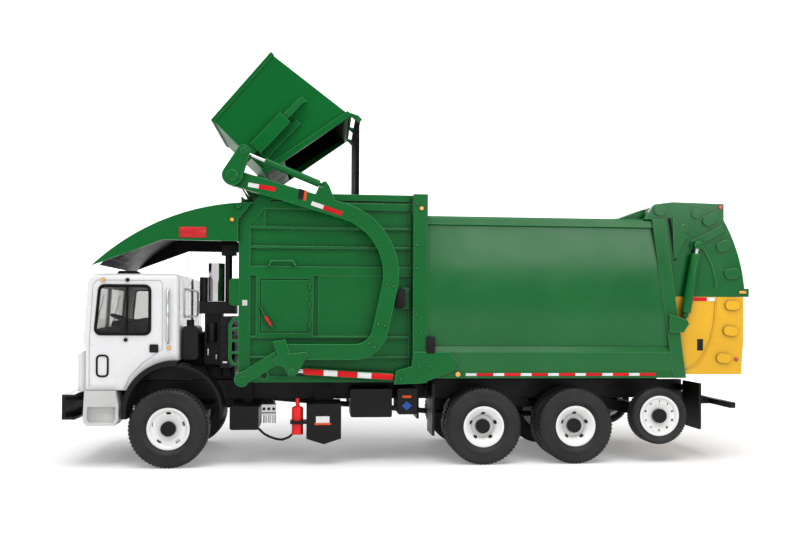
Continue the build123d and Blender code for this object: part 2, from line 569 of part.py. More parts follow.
def make_hopper():
    """Front body: ribbed side walls, with the pins that the arms turn on, front wall and canopy."""
    nodes = {}
    inner = HOPPER_HALF - HOPPER_T
    rear = POST_FRONT - GAP
    wall_line = [(HOPPER_FRONT, HOPPER_BOTTOM), (HOPPER_FRONT, CHAMFER_Z), (CHAMFER_X, HOPPER_TOP),
                 (rear, HOPPER_TOP), (rear, HOPPER_BOTTOM)]
    wall = slab(outline(wall_line), -HOPPER_HALF, -inner)
    proud, sunk = HOPPER_HALF + RIB, HOPPER_HALF - PRESS
    strip_w = 4.6
    # bottom and top of the ribs, rising from the sill; the sheet between them is pressed in
    ribs = ((HOPPER_BOTTOM, 36.0), (43.1, 43.9), (51.2, 52.1), (76.3, 80.1), (87.4, 88.3), (95.2, 96.1),
            (103.1, 106.0), (106.9, HOPPER_TOP))
    for (_, low), (high, _) in zip(ribs[:-1], ribs[1:]):
        start = max(HOPPER_FRONT + strip_w, CHAMFER_X + 1.5 if high > CHAMFER_Z else 0)
        wall -= block(start, rear - 1.2, -HOPPER_HALF - 1, -sunk, low, high)
    for low, high in ribs:
        start = CHAMFER_X if low > CHAMFER_Z else HOPPER_FRONT + strip_w
        wall += block(start, rear, -proud, -sunk, low, high)
    strip = outline([(HOPPER_FRONT, HOPPER_BOTTOM), (HOPPER_FRONT, CHAMFER_Z), (CHAMFER_X, HOPPER_TOP),
                     (CHAMFER_X + 4.0, HOPPER_TOP - 2.5), (HOPPER_FRONT + strip_w, CHAMFER_Z - 1.8),
                     (HOPPER_FRONT + strip_w, HOPPER_BOTTOM)])
    wall += slab(strip, -proud, -HOPPER_HALF)
    # frame round the access door, the door's leaf, and the plain panel behind it
    wall += block(74.4, 97.2, -proud, -sunk, 52.1, 76.3) - block(76.0, 95.8, -proud - 1, 0, 53.4, 75.0)
    wall += block(76.4, 95.4, -HOPPER_HALF - 0.15, -sunk, 53.8, 74.6)
    wall += block(99.2, 126.0, -HOPPER_HALF - 0.15, -sunk, 52.1, 76.3)
    bush = (77.7, 36.4)
    wall += slab(disc(bush, 2.1), -proud - 0.2, -HOPPER_HALF)
    wall -= slab(disc(bush, 1.2), -proud - 1, -sunk)
    # tab and climbing hoop that stand forward of the front corner post
    edge = HOPPER_FRONT + 0.4
    tab = outline([(63.8, 64.2), (63.8, 75.1), (edge, 75.1), (edge, 64.2)])
    tab = fillet(tab.vertices().sort_by(Axis.X)[:2], 1.6)
    wall += slab(tab, -HOPPER_HALF, -HOPPER_HALF + 1.2)
    hoop = outline([(edge, 59.4), (65.4, 59.4), (63.6, 56.6), (63.6, 42.4), (65.4, 40.0), (edge, 40.0)])
    hoop -= outline([(edge, 58.2), (66.0, 58.2), (64.8, 56.2), (64.8, 42.8), (66.0, 41.2), (edge, 41.2)])
    wall += slab(hoop, -HOPPER_HALF, -HOPPER_HALF + 1.2)
    for z in (44.8, 49.6, 54.4):
        wall += block(63.6, HOPPER_FRONT - GAP, -HOPPER_HALF, -HOPPER_HALF + 8.0, z, z + 0.9)
        wall += block(HOPPER_FRONT - 1.0, edge, -HOPPER_HALF, -inner, z, z + 0.9)
    wall += slab(disc(ARM_PIVOT, ARM_PIVOT_R), -ARM_OUT - 0.2, -HOPPER_HALF)
    wall += slab(disc(ARM_PIVOT, ARM_PIVOT_R + 1.0), -ARM_IN + SLIDE, -HOPPER_HALF)
    nodes["hopper_side_walls"] = pair(wall)

    half = inner - GAP
    top_x = CHAMFER_X
    front = outline([(HOPPER_FRONT, FLOOR_TOP + GAP), (HOPPER_FRONT, CHAMFER_Z), (top_x, HOPPER_TOP),
                     (top_x + 1.6, HOPPER_TOP - 1.2), (HOPPER_FRONT + HOPPER_T, CHAMFER_Z - 0.6),
                     (HOPPER_FRONT + HOPPER_T, FLOOR_TOP + GAP)])
    nodes["hopper_front_wall"] = [slab(front, -half, half)]

    touch = HOPPER_FRONT - GAP
    lean = 0.8
    tip = (10.8, 79.6)
    edge = ThreePointArc(tip, (37.0, 97.4), (touch + 5.6, 105.4))
    edge += Polyline((touch + 5.6, 105.4), (touch, CHAMFER_Z), (touch, 89.8), (38.0, 90.0), tip)
    side = make_face(edge)
    canopy = slab(side, -CANOPY_HALF, CANOPY_HALF)
    canopy -= Pos(-lean, 0, -CANOPY_T) * slab(side, CANOPY_T - CANOPY_HALF, CANOPY_HALF - CANOPY_T)
    canopy -= block(0, touch, CANOPY_T - CANOPY_HALF, CANOPY_HALF - CANOPY_T, 60, 82)
    nodes["canopy"] = [canopy]
    return nodes


def make_body():
    """Load body behind the hopper: portal frame, curved walls, roof, floor and tailgate ears."""
    nodes = {}
    inner = HOPPER_HALF - HOPPER_T
    posts = block(POST_FRONT, POST_REAR, -POST_HALF, POST_HALF, HOPPER_BOTTOM, HOPPER_TOP)
    posts -= block(POST_FRONT - 1, POST_REAR + 1, -inner, inner, HOPPER_BOTTOM - 1, BODY_TOP - 2)
    plate_in = LIFT_Y + LIFT_R + SLIDE
    bracket = outline([(129.6, 33.0), (130.4, 38.4), (136.6, 40.2), (137.4, 46.0), (152.0, 46.0),
                       (155.5, 42.5), (154.0, 38.6), (141.0, 33.4)])
    plate = slab(bracket, -POST_HALF - 0.6, -plate_in)
    plate -= block(POST_REAR, 160.0, -POST_HALF, -30.0, 30.0, 50.0)
    plate += slab(disc(LIFT_BASE, 0.9), -plate_in, -LIFT_Y + 1.6)
    for side in pair(plate):
        posts += side
    nodes["body_portal_frame"] = [posts]

    # y and z of the wall's section, outside then inside; the panel between bulges as an arc
    out = BODY_HALF
    thin = out - BODY_WALL
    low = Polyline((-thin, BODY_BOTTOM), (-out, BODY_BOTTOM), (-out - 0.4, BODY_BOTTOM + 3.0),
                   (-out - 0.4, PANEL_BOTTOM - 2.6), (-out + 0.9, PANEL_BOTTOM),
                   (-out + 0.5, PANEL_BOTTOM + 0.3))
    bulge = ThreePointArc((-out + 0.5, PANEL_BOTTOM + 0.3), (-out - 0.25, (PANEL_BOTTOM + PANEL_TOP) / 2),
                          (-out + 1.1, PANEL_TOP))
    high = Polyline((-out + 1.1, PANEL_TOP), (-out + 0.1, PANEL_TOP + 0.6), (-out + 0.4, BODY_TOP - 0.8),
                    (-out + 1.2, BODY_TOP), (-thin + 0.8, BODY_TOP), (-thin, BODY_TOP - 2.0),
                    (-thin, BODY_BOTTOM))
    section = make_face(low + bulge + high)
    start = POST_REAR + GAP
    wall = extrude(Plane(origin=(start, 0, 0), x_dir=(0, 1, 0), z_dir=(1, 0, 0)) * section, amount=120.0)
    cut = outline([(seam_x(120.0) - 0.6, 120.0), (seam_x(20.0) - 0.6, 20.0), (400.0, 20.0), (400.0, 120.0)])
    wall -= slab(cut, -50, 0)
    post = outline([(seam_x(BODY_TOP) - 6.2, BODY_TOP), (seam_x(BODY_TOP) - 0.6, BODY_TOP),
                    (seam_x(BODY_BOTTOM) - 0.6, BODY_BOTTOM), (seam_x(BODY_BOTTOM) - 6.0, BODY_BOTTOM)])
    wall += slab(post, -POST_HALF - 0.1, -thin)
    lug_in = GATE_CYL_Y + 0.75
    lug = outline([(GATE_BASE[0] - 7.0, GATE_BASE[1] - 4.4), (GATE_BASE[0] - 7.0, GATE_BASE[1] + 3.2),
                   (GATE_BASE[0] + 0.4, GATE_BASE[1] + 0.9), (GATE_BASE[0] + 1.4, GATE_BASE[1] - 0.8),
                   (GATE_BASE[0] - 1.0, GATE_BASE[1] - 4.4)])
    wall += slab(lug, -lug_in - 1.3, -lug_in)
    wall += slab(disc(GATE_BASE, 0.7), -lug_in, -GATE_CYL_Y + 0.9)
    ear = outline([(GATE_PIN[0] - 6.5, BODY_TOP), (GATE_PIN[0] - 2.4, GATE_PIN[1] + 2.0),
                   (GATE_PIN[0] + 1.2, GATE_PIN[1] + 2.8), (GATE_PIN[0] + 2.0, BODY_TOP)])
    wall += slab(ear, -out + 0.1, -GATE_HALF - SLIDE)
    wall += slab(disc(GATE_PIN, 2.3), -out - 0.5, -GATE_HALF - SLIDE)
    wall += slab(disc(GATE_PIN, GATE_PIN_R), -GATE_HALF - SLIDE, -GATE_HALF + GATE_T + 0.4)
    nodes["body_side_walls"] = pair(wall)

    half = thin - 0.8 - GAP
    rear_top = seam_x(BODY_TOP) - 0.6
    roof = block(start, rear_top, -half, half, BODY_TOP - 1.5, BODY_TOP - 0.4)
    for x in (163.0, 183.0, 203.0):
        roof += block(x, x + 2.0, -half, half, BODY_TOP - 0.4, BODY_TOP + 0.2)
    hood = outline([(221.5, BODY_TOP - 0.4), (234.5, 105.6), (235.6, 105.6), (235.6, BODY_TOP - 0.4)])
    roof += slab(hood, -half + 2.0, half - 2.0)
    nodes["body_roof"] = [roof]

    deck_half = inner - GAP
    deck = block(HOPPER_FRONT, seam_x(FLOOR_TOP) - 0.6, -deck_half, deck_half, FLOOR_TOP - 1.6, FLOOR_TOP)
    deck += block(start, seam_x(FLOOR_TOP) - 0.6, -half, half, FLOOR_TOP - 1.6, FLOOR_TOP)
    for side in pair(block(HOPPER_FRONT + 2, 248.0, 10.0, RAIL_Y, RAIL_TOP + 0.05, FLOOR_TOP - 1.6)):
        deck += side
    nodes["body_floor"] = [deck]

    blade = outline([(70.6, FLOOR_TOP + SLIDE), (70.6, 70.0), (73.4, 72.0), (75.0, 71.0), (82.5, 55.0),
                     (82.5, FLOOR_TOP + SLIDE)])
    hollow = outline([(69.0, FLOOR_TOP - 1), (69.0, 67.0), (72.6, 69.4), (73.6, 69.0), (80.9, 54.4),
                      (80.9, FLOOR_TOP - 1)])
    blade_half = inner - 0.5
    packer = slab(blade, -blade_half, blade_half)
    packer -= slab(hollow, 2 - blade_half, blade_half - 2)
    nodes["packer_panel"] = [packer]
    return nodes


def make_arms():
    """Gooseneck lift arms with their cylinders."""
    nodes = {}
    spine = FilletPolyline((FORK_SHAFT[0], FORK_SHAFT[1] - 0.6), ARM_ELBOW, ARM_KNEE, ARM_FOOT,
                           radius=[ELBOW_R, KNEE_R])
    arm_face = trace(spine, line_width=ARM_W)
    stub = Polyline(ARM_PIVOT, (ARM_FOOT[0], ARM_FOOT[1] - 0.4))
    arm_face += trace(stub, line_width=4.9)
    arm_face += disc(ARM_PIVOT, ARM_PIVOT_R + 1.3)
    arm_face += disc(FORK_SHAFT, ARM_W / 2)
    ear = outline([(81.6, 50.1), (86.5, 51.0), (88.0, 46.0), (83.7, 44.8)])
    cheek = outline([(81.6, 42.8), (85.8, 46.3), (88.8, 45.4), (94.6, 46.0), (95.3, 44.8), (91.6, 38.1),
                     (90.4, 36.6), (87.8, 36.6), (85.8, 40.2), (82.9, 40.9)])
    arm_face += ear
    arm_face += cheek
    lug_foot = 105.8
    tilt_x, tilt_z = TILT_BASE
    lug = [(tilt_x - 4.4, lug_foot), (tilt_x - 1.5, tilt_z + 1.0), (tilt_x + 0.6, tilt_z + 1.8),
           (tilt_x + 2.0, tilt_z), (tilt_x + 5.4, lug_foot - 2.4)]
    arm_face += outline(lug)
    arm = slab(arm_face, -ARM_OUT, -ARM_IN)
    arm += slab(ear + cheek, -ARM_OUT - CHEEK_T, -ARM_OUT)
    arm -= slab(disc(ARM_PIVOT, ARM_PIVOT_R + RUN), -ARM_OUT - 1, -ARM_IN + 1)
    arm -= slab(disc(FORK_SHAFT, FORK_SHAFT_R + RUN), -ARM_OUT - 1, -ARM_IN + 1)
    slot = 0.8
    arm -= slab(disc(TILT_BASE, 2.9), -TILT_Y - slot, -TILT_Y + slot)
    away = along(TILT_BASE, CRANK_PIN, 12.0)
    arm -= rod(TILT_BASE, away, TILT_R + SLIDE, -TILT_Y)
    arm += slab(disc(TILT_BASE, 0.6), -TILT_Y - slot, -TILT_Y + slot)
    arm += slab(disc(LIFT_PIN, 1.3), -ARM_OUT - CHEEK_T - 0.4, -ARM_OUT)
    nodes["lift_arms"] = pair(arm)

    # name, base pin, rod pin, barrel radius, rod radius, y, eye radius, half eye width, barrel length,
    # base pin radius
    cylinders = (
        ("lift", LIFT_BASE, LIFT_PIN, LIFT_R, LIFT_ROD_R, LIFT_Y, 1.75, 1.5, 38.0, 0.9),
        ("tilt", TILT_BASE, CRANK_PIN, TILT_R, TILT_ROD_R, TILT_Y, 1.4, 0.7, 25.0, 0.6),
        ("gate", GATE_BASE, GATE_ROD_PIN, GATE_CYL_R, GATE_ROD_R, GATE_CYL_Y, 1.35, 0.65, 28.8, 0.7),
    )
    for name, base, pin, barrel_r, rod_r, y, eye_r, eye_half, long, pin_r in cylinders:
        closed = math.dist(base, pin)
        foot = eye_r + 0.6
        barrel = rod(along(base, pin, foot), along(base, pin, long), barrel_r, -y)
        barrel += rod(base, along(base, pin, foot + 0.2), 0.5 * eye_r, -y)
        barrel += slab(disc(base, eye_r), -y - eye_half, -y + eye_half)
        barrel -= slab(disc(base, pin_r + RUN), -y - 5, -y + 5)
        barrel -= rod(along(base, pin, foot + 0.8), along(base, pin, long + 1), rod_r + RUN, -y)
        piston = rod(along(base, pin, foot + 1.0), along(base, pin, closed), rod_r, -y)
        piston += slab(disc(pin, eye_r), -y - eye_half, -y + eye_half)
        nodes[f"{name}_cylinder_barrels"] = pair(barrel)
        nodes[f"{name}_cylinder_rods"] = pair(piston)
    return nodes


def make_forks():
    """Fork shaft with its outer cranks and the two tines that carry the bin."""
    nodes = {}
    crank_in = ARM_OUT + 0.45
    crank_out = crank_in + CRANK_T
    nodes["fork_shaft"] = [slab(disc(FORK_SHAFT, FORK_SHAFT_R), -crank_out, crank_out)]
    link = make_hull(disc(FORK_SHAFT, 4.0).edges() + disc(CRANK_PIN, 2.5).edges())
    crank = slab(link, -crank_out, -crank_in)
    crank -= slab(disc(FORK_SHAFT, FORK_SHAFT_R + 0.02), -crank_out - 1, -crank_in + 1)
    crank += slab(disc(CRANK_PIN, 1.3), -crank_out - 0.4, -crank_out)

    u0 = -11.3
    v0, v1 = TINE_V
    bar = outline([bin_point(u0, v0), bin_point(TINE_TIP - 1.0, v0 + 0.6), bin_point(TINE_TIP, v0 + 1.2),
                   bin_point(TINE_TIP, v1 + 1.0), bin_point(TINE_TIP - 1.6, v1), bin_point(u0, v1)])
    hub = disc(FORK_SHAFT, 3.0)
    tine = slab(bar + hub, -TINE_Y[1], -TINE_Y[0])
    tine -= slab(disc(FORK_SHAFT, FORK_SHAFT_R + 0.02), -TINE_Y[1] - 1, -TINE_Y[0] + 1)
    nodes["fork_tines_and_cranks"] = pair(tine) + pair(crank)
    return nodes


def make_bin():
    """Steel bin with side sleeves, and its plastic lids hanging open."""
    nodes = {}
    low, tall, deep, fall, t = BIN_LOW_WALL, BIN_TALL_WALL, BIN_DEEP, BIN_BASE_FALL, BIN_T

    def low_u(v):
        """Outer face of the low wall at height v."""
        return -BIN_LOW_FLARE * v / low

    def tall_u(v):
        """Outer face of the tall wall at height v."""
        return deep + BIN_TALL_FLARE * (v + fall) / (tall + fall)

    over = 6.0
    corners = [(0, 0), (deep, -fall), (tall_u(tall), tall), (low_u(low), low)]
    shell = slab(outline([bin_point(*c) for c in corners]), -BIN_HALF, BIN_HALF)
    room = [(low_u(t) + t, t), (tall_u(t - fall) - t, t - fall), (tall_u(tall + over) - t, tall + over),
            (low_u(low + over) + t, low + over)]
    hollow = slab(outline([bin_point(*c) for c in room]), t - BIN_HALF, BIN_HALF - t)
    shell -= hollow
    rim_high, rim_proud = 2.4, 0.7
    band = [(low_u(low - rim_high) - rim_proud, low - rim_high),
            (tall_u(tall - rim_high) + rim_proud, tall - rim_high), (tall_u(tall) + rim_proud, tall),
            (low_u(low) - rim_proud, low)]
    rim_half = BIN_HALF + rim_proud
    shell += slab(outline([bin_point(*c) for c in band]), -rim_half, rim_half) - hollow
    # ledge inside the low wall, which the lids close on
    mouth = (tall_u(tall) - low_u(low), tall - low)
    ledge = math.dist(LID_HINGE, (low_u(low), low)) - LID_LONG + LID_LAP
    run = (mouth[0] * ledge / math.hypot(*mouth), mouth[1] * ledge / math.hypot(*mouth))
    first = (low_u(low), low)
    lap = [first, (first[0] + run[0], first[1] + run[1]), (first[0] + run[0], first[1] + run[1] - t),
           (first[0], first[1] - t)]
    shell += slab(outline([bin_point(*c) for c in lap]), -BIN_HALF, BIN_HALF)
    foot = [(-0.5, -0.8), (deep + 0.5, -fall - 0.8), (deep + 0.5, 0.8 - fall), (-0.5, 0.8)]
    shell += slab(outline([bin_point(*c) for c in foot]), -BIN_HALF - 0.4, BIN_HALF + 0.4)
    u0, u1 = SLEEVE_U
    v0, v1 = TINE_V[0] - SLIDE, TINE_V[1] + SLIDE
    skin = SLEEVE_T
    v1 += 1.0
    case = [(u0, v0 - skin), (u1, v0 - skin), (u1, v1 + skin), (u0, v1 + skin)]
    sleeve = slab(outline([bin_point(*c) for c in case]), -TINE_Y[1] - SLIDE - skin, -BIN_HALF)
    path = [(u0 - 1, v0), (u1 + 1, v0), (u1 + 1, v1), (u0 - 1, v1)]
    sleeve -= slab(outline([bin_point(*c) for c in path]), -TINE_Y[1] - SLIDE, -TINE_Y[0] + SLIDE)
    rail = [(u0, v1 + skin), (u1 + 3.0, v1 + skin), (u1 + 3.0, v1 + 3.2), (u0, v1 + 3.2)]
    lower = slab(outline([bin_point(*c) for c in rail]), -BIN_HALF - 1.2, -BIN_HALF)
    for side in pair(sleeve + lower):
        shell += side
    hinge = bin_point(*LID_HINGE)
    hinge_u, hinge_v = LID_HINGE
    root = tall_u(tall) + 0.2
    lug = [(root, tall - 2.4), (hinge_u + 1.4, hinge_v - 0.8), (hinge_u + 1.2, hinge_v + 1.2),
           (hinge_u - 0.8, hinge_v + 1.0), (root, tall - 0.2)]
    lug = outline([bin_point(*c) for c in lug])
    for y in (-BIN_HALF, -0.9, BIN_HALF - 1.8):
        shell += slab(lug, y, y + 1.8)
    shell += slab(disc(hinge, LID_ROD_R), -BIN_HALF - 0.4, BIN_HALF + 0.4)
    nodes["bin_shell"] = [shell]

    x, z = hinge
    lids = []
    for y0, y1 in ((-BIN_HALF + 2.2, -1.3), (1.3, BIN_HALF - 2.2)):
        lid = block(x - LID_T / 2, x + LID_T / 2, y0, y1, z - LID_LONG, z)
        lid += slab(disc(hinge, 1.2), y0, y1)
        lid += block(x - LID_T / 2 - 0.6, x + LID_T / 2, y0, y1, z - LID_LONG, z - LID_LONG + 1.2)
        lid -= slab(disc(hinge, LID_ROD_R + RUN), y0 - 1, y1 + 1)
        lids.append(lid)
    nodes["bin_lids"] = lids
    return nodes


def make_tailgate():
    """Bulged tailgate in two halves: green above, yellow below."""
    nodes = {}
    t = GATE_T
    split = GATE_SPLIT
    lip = 280.0
    back = 277.6
    foot = SEAM_FOOT[1]
    top = 108.6
    pin_x = GATE_PIN[0]
    neck = 103.4
    crest_x, crest_z = 268.7, 101.4
    bulge_x, bulge_z = 274.9, 87.6
    wall_x = 278.0
    upper_line = Polyline((seam_x(split), split), (seam_x(neck), neck), (pin_x - 2.8, neck),
                          (pin_x - 2.8, 106.0), (pin_x - 0.8, 107.6), (246.3, top), (crest_x, top - 0.4),
                          (crest_x, crest_z))
    upper_line += ThreePointArc((crest_x, crest_z), (bulge_x, bulge_z), (wall_x, GATE_LIP_TOP))
    upper_line += Polyline((wall_x, GATE_LIP_TOP), (lip, GATE_LIP_TOP), (lip, split), (seam_x(split), split))
    upper = slab(make_face(upper_line), -GATE_HALF, GATE_HALF)
    start = (seam_x(split) - 3, split - 2)
    crest = (crest_x - t, crest_z + 0.4)
    lip_in = (wall_x - t, GATE_LIP_TOP)
    hollow_line = Polyline(start, (seam_x(neck) - 3, neck - 1.2), (seam_x(neck) + 1.0, neck - 1.2),
                           (246.9, top - t), (crest_x - t, top - t - 0.4), crest)
    hollow_line += ThreePointArc(crest, (bulge_x - t, bulge_z + 0.4), lip_in)
    hollow_line += Polyline(lip_in, (wall_x - t, split - 2), start)
    upper -= slab(make_face(hollow_line), t - GATE_HALF, GATE_HALF - t)
    upper -= block(pin_x - 6, seam_x(neck) + 0.2, t - GATE_HALF, GATE_HALF - t, 102.0, 110.0)
    upper -= slab(disc(GATE_PIN, GATE_PIN_R + RUN), -GATE_HALF - 1, GATE_HALF + 1)
    eye_x, eye_z = GATE_ROD_PIN
    bar = outline([(eye_x - 2.0, eye_z - 1.8), (eye_x - 2.0, eye_z + 1.8), (eye_x + 11.2, eye_z + 8.6),
                   (eye_x + 12.4, eye_z + 6.0)])
    gusset = outline([(246.2, 102.4), (252.8, 94.0), (246.9, 84.2)])
    rib = ThreePointArc((258.9, 90.3), (263.6, 81.8), (265.6, GATE_LIP_TOP))
    raised = [(bar, 0.7), (gusset, 0.4), (trace(rib, line_width=0.9), 0.45)]
    for at, r in (((256.6, 103.9), 2.0), ((251.4, 97.6), 1.9)):
        raised.append((disc(at, r), 0.55))
    # station, height and turn of the pressed ovals on each side
    for x, z, turn in ((262.4, 101.6, 35), (268.6, 90.6, 20), (272.4, 79.0, 8)):
        raised.append((Pos(x, z) * Rot(0, 0, turn) * SlotOverall(6.6, 4.2), GATE_RAISED))
    for shape, high in raised:
        for side in pair(slab(shape, -GATE_HALF - high, -GATE_HALF)):
            upper += side
    nodes["tailgate_upper"] = [upper]

    lower_line = [(seam_x(split), split - GAP), (seam_x(foot), foot), (back - 0.8, foot), (back - 0.4, 44.0),
                  (back, 50.0), (back, split - GAP)]
    lower = slab(outline(lower_line), -GATE_HALF, GATE_HALF)
    inside = [(seam_x(split) - 3, split + 1), (seam_x(foot) - 3, foot + t), (back - 0.8 - t, foot + t),
              (back - 0.4 - t, 44.0), (back - t, 50.0), (back - t, split + 1)]
    lower -= slab(outline(inside), t - GATE_HALF, GATE_HALF - t)
    for x, z, turn in ((272.6, 65.6, 0), (271.8, 54.8, -8), (268.9, 43.4, -4)):
        oval = Pos(x, z) * Rot(0, 0, turn) * SlotOverall(6.4, 4.0)
        for side in pair(slab(oval, -GATE_HALF - GATE_RAISED, -GATE_HALF)):
            lower += side
    nodes["tailgate_lower"] = [lower]
    return nodes


def make_lamps():
    """Amber marker lamps and red tail lamps, each on the piece that carries it."""
    nodes = {}
    # station, y of the carrying face, height, radius
    markers = ((15.0, CAB_HALF, 74.0, 0.7), (40.4, CAB_HALF, 47.3, 0.7), (65.0, CANOPY_HALF, 98.3, 0.8),
               (140.4, POST_HALF, 103.7, 0.8), (155.5, BODY_HALF + 0.4, 37.0, 1.0))
    lamps = []
    for x, y, z, r in markers:
        lamps += pair(slab(disc((x, z), r), -y - 0.6, -y - 0.02))
    nodes["marker_lamps"] = lamps
    tail = []
    for y in (-27.0, -21.0, 21.0, 27.0):
        tail.append(Pos(277.6 + 0.42, y, 58.0) * Rot(0, 90, 0) * Cylinder(1.6, 0.8))
    nodes["tail_lamps"] = tail
    return nodes


def main():
    nodes = {}
    for make in (make_wheels, make_chassis, make_chassis_fittings, make_cab, make_hopper, make_body,
                 make_arms, make_forks, make_bin, make_tailgate, make_lamps):
        nodes.update(make())
    os.makedirs("parts", exist_ok=True)
    shift = Pos(-LENGTH / 2, 0, 0)
    for name, solids in nodes.items():
        placed = [solid for piece in solids for solid in (shift * piece).solids()]
        export_step(Compound(children=placed), f"parts/{name}.step")
    return nodes


main()
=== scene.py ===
"""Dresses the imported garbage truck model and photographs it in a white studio."""

import bpy
import bmesh
import json
import math
from mathutils import Matrix, Vector


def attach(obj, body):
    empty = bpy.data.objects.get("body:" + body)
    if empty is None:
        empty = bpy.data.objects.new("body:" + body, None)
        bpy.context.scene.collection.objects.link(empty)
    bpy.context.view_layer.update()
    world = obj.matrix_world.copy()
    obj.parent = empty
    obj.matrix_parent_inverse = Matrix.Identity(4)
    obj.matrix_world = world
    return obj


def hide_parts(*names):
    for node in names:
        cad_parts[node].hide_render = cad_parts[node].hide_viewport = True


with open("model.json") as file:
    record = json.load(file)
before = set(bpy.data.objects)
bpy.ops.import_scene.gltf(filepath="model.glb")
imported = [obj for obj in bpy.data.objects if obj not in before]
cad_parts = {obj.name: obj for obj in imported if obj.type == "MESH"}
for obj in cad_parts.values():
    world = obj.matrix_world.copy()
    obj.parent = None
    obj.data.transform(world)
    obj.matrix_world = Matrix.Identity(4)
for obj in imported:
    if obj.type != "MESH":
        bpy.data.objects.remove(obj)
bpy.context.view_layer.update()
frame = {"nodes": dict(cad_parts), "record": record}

MM = 0.001
HALF_LENGTH = 140.0       # stations are millimetres behind the bumper's face

# Camera, worked out from the photograph's perspective
EYE = (100.0, -368.0, 62.0)
YAW = 5.5
ROLL = 0.34
LENS_PX = 830.0
IMAGE_W = 800
HORIZON_DROP_PX = 42.0
SENSOR_W = 36.0
CLIP_START = 0.01

# Half widths of the faces that carry trim, in millimetres
CAB_SIDE = 32.0
HOPPER_SIDE = 31.75
CANOPY_SIDE = 33.35
POST_SIDE = 36.5
SILL_SIDE = 36.2
BRACKET_SIDE = 37.05
ARM_SIDE = 39.0
CRANK_SIDE = 40.85
GATE_SIDE = 33.6
GATE_EYE_SIDE = 36.3
TANK_SIDE = 34.0
BOX_SIDE = 33.5

# Pins, as stations and heights
LIFT_BASE, LIFT_PIN = (132.0, 35.6), (89.0, 38.3)
SHAFT = (65.7, 114.9)
GATE_ROD_PIN = (256.4, 90.6)


def at(x, y, z):
    """Point of the shared frame in metres from a station, a width and a height in millimetres."""
    return Vector(((x - HALF_LENGTH) * MM, y * MM, z * MM))


# Materials

NOISE_LOW, NOISE_HIGH = 0.3, 0.7              # noise between these is mapped to values
TINT_LOW, TINT_HIGH = 0.35, 0.65              # and between these to colours
COARSE, FINE = 3.0, 2.0                       # detail of clouds and of grain
EDGE_HIGHLIGHT_STARTS, EDGE_HIGHLIGHT_FULL = 0.985, 0.80          # cosine of the normal's turn at an edge, where the painted highlight starts and where it is full
EDGE_RADIUS, EDGE_SAMPLES = 0.0005, 4
# reach and samples of the painted shade in corners
CORNER_SHADE_REACH, CORNER_SHADE_SAMPLES = 0.003, 8
COAT_ROUGH = 0.12
PANE_IOR = 1.3


def add_node(tree, kind, values=None, feeds=None):
    """New node with constants on its sockets and outputs of other nodes linked into them."""
    node = tree.nodes.new(kind)
    for socket, value in (values or {}).items():
        node.inputs[socket].default_value = value
    for socket, output in (feeds or {}).items():
        tree.links.new(output, node.inputs[socket])
    return node


def shade(colour, factor):
    return tuple(min(1.0, c * factor) for c in colour)


class Surface:
    """A material in the making: its shader, and nodes that vary it by the object's own coordinates."""

    def __init__(self, name, colour, rough, metal=0.0):
        self.material = bpy.data.materials.new(name)
        self.material.use_nodes = True
        self.tree = self.material.node_tree
        self.shader = self.tree.nodes["Principled BSDF"]
        self.colour, self.rough = colour, rough
        self.set("Base Color", (*colour, 1))
        self.set("Roughness", rough)
        self.set("Metallic", metal)
        self.place = self.add("ShaderNodeTexCoord").outputs["Object"]

    def add(self, kind, values=None, feeds=None):
        return add_node(self.tree, kind, values, feeds)

    def set(self, socket, value):
        self.shader.inputs[socket].default_value = value

    def feed(self, socket, output):
        self.tree.links.new(output, self.shader.inputs[socket])

    def noise(self, scale, detail=COARSE, stretch=None):
        place = self.place
        if stretch:
            place = self.add("ShaderNodeMapping", {"Scale": stretch}, {"Vector": place}).outputs["Vector"]
        values = {"Scale": scale, "Detail": detail}
        return self.add("ShaderNodeTexNoise", values, {"Vector": place}).outputs["Fac"]

    def spread(self, factor, low, high):
        """Noise mapped to a range of values."""
        values = {"From Min": NOISE_LOW, "From Max": NOISE_HIGH, "To Min": low, "To Max": high}
        return self.add("ShaderNodeMapRange", values, {"Value": factor}).outputs["Result"]

    def tint(self, factor, one, two):
        """Noise mapped between two colours."""
        ramp = self.add("ShaderNodeValToRGB", feeds={"Fac": factor})
        for element, place, colour in zip(ramp.color_ramp.elements, (TINT_LOW, TINT_HIGH), (one, two)):
            element.position = place
            element.color = (*colour, 1)
        return ramp.outputs["Color"]

    def mottle(self, factor, dark, light):
        """Noise mapped between a darker and a lighter shade of the colour."""
        return self.tint(factor, shade(self.colour, dark), shade(self.colour, light))

    def roughen(self, scale, less, more):
        """Roughness that varies from this much less to this much more than the plain value."""
        self.feed("Roughness", self.spread(self.noise(scale), self.rough - less, self.rough + more))

    def bump(self, height, strength, distance, under=None):
        """Grain of the surface, over the normal `under` where one is given."""
        node = self.add("ShaderNodeBump", {"Strength": strength, "Distance": distance}, {"Height": height})
        if under:
            self.tree.links.new(under, node.inputs["Normal"])
        self.feed("Normal", node.outputs["Normal"])

    def rolled_edge(self):
        """Normal of paint that rolls over sharp edges."""
        soft = self.add("ShaderNodeBevel", {"Radius": EDGE_RADIUS})
        soft.samples = EDGE_SAMPLES
        return soft.outputs["Normal"]

    def painted_edge_highlight(self, rolled, colour, light):
        """Painted highlight: colour that turns lighter where the normal rolls over an edge."""
        flat = self.add("ShaderNodeNewGeometry").outputs["True Normal"]
        turn = self.add("ShaderNodeVectorMath", feeds={0: rolled, 1: flat})
        turn.operation = "DOT_PRODUCT"
        highlight_amount = self.add("ShaderNodeMapRange", {"From Min": EDGE_HIGHLIGHT_STARTS, "From Max": EDGE_HIGHLIGHT_FULL},
                          {"Value": turn.outputs["Value"]}).outputs["Result"]
        mix = self.add("ShaderNodeMixRGB", {"Color2": (*light, 1)}, {"Fac": highlight_amount, "Color1": colour})
        return mix.outputs["Color"]


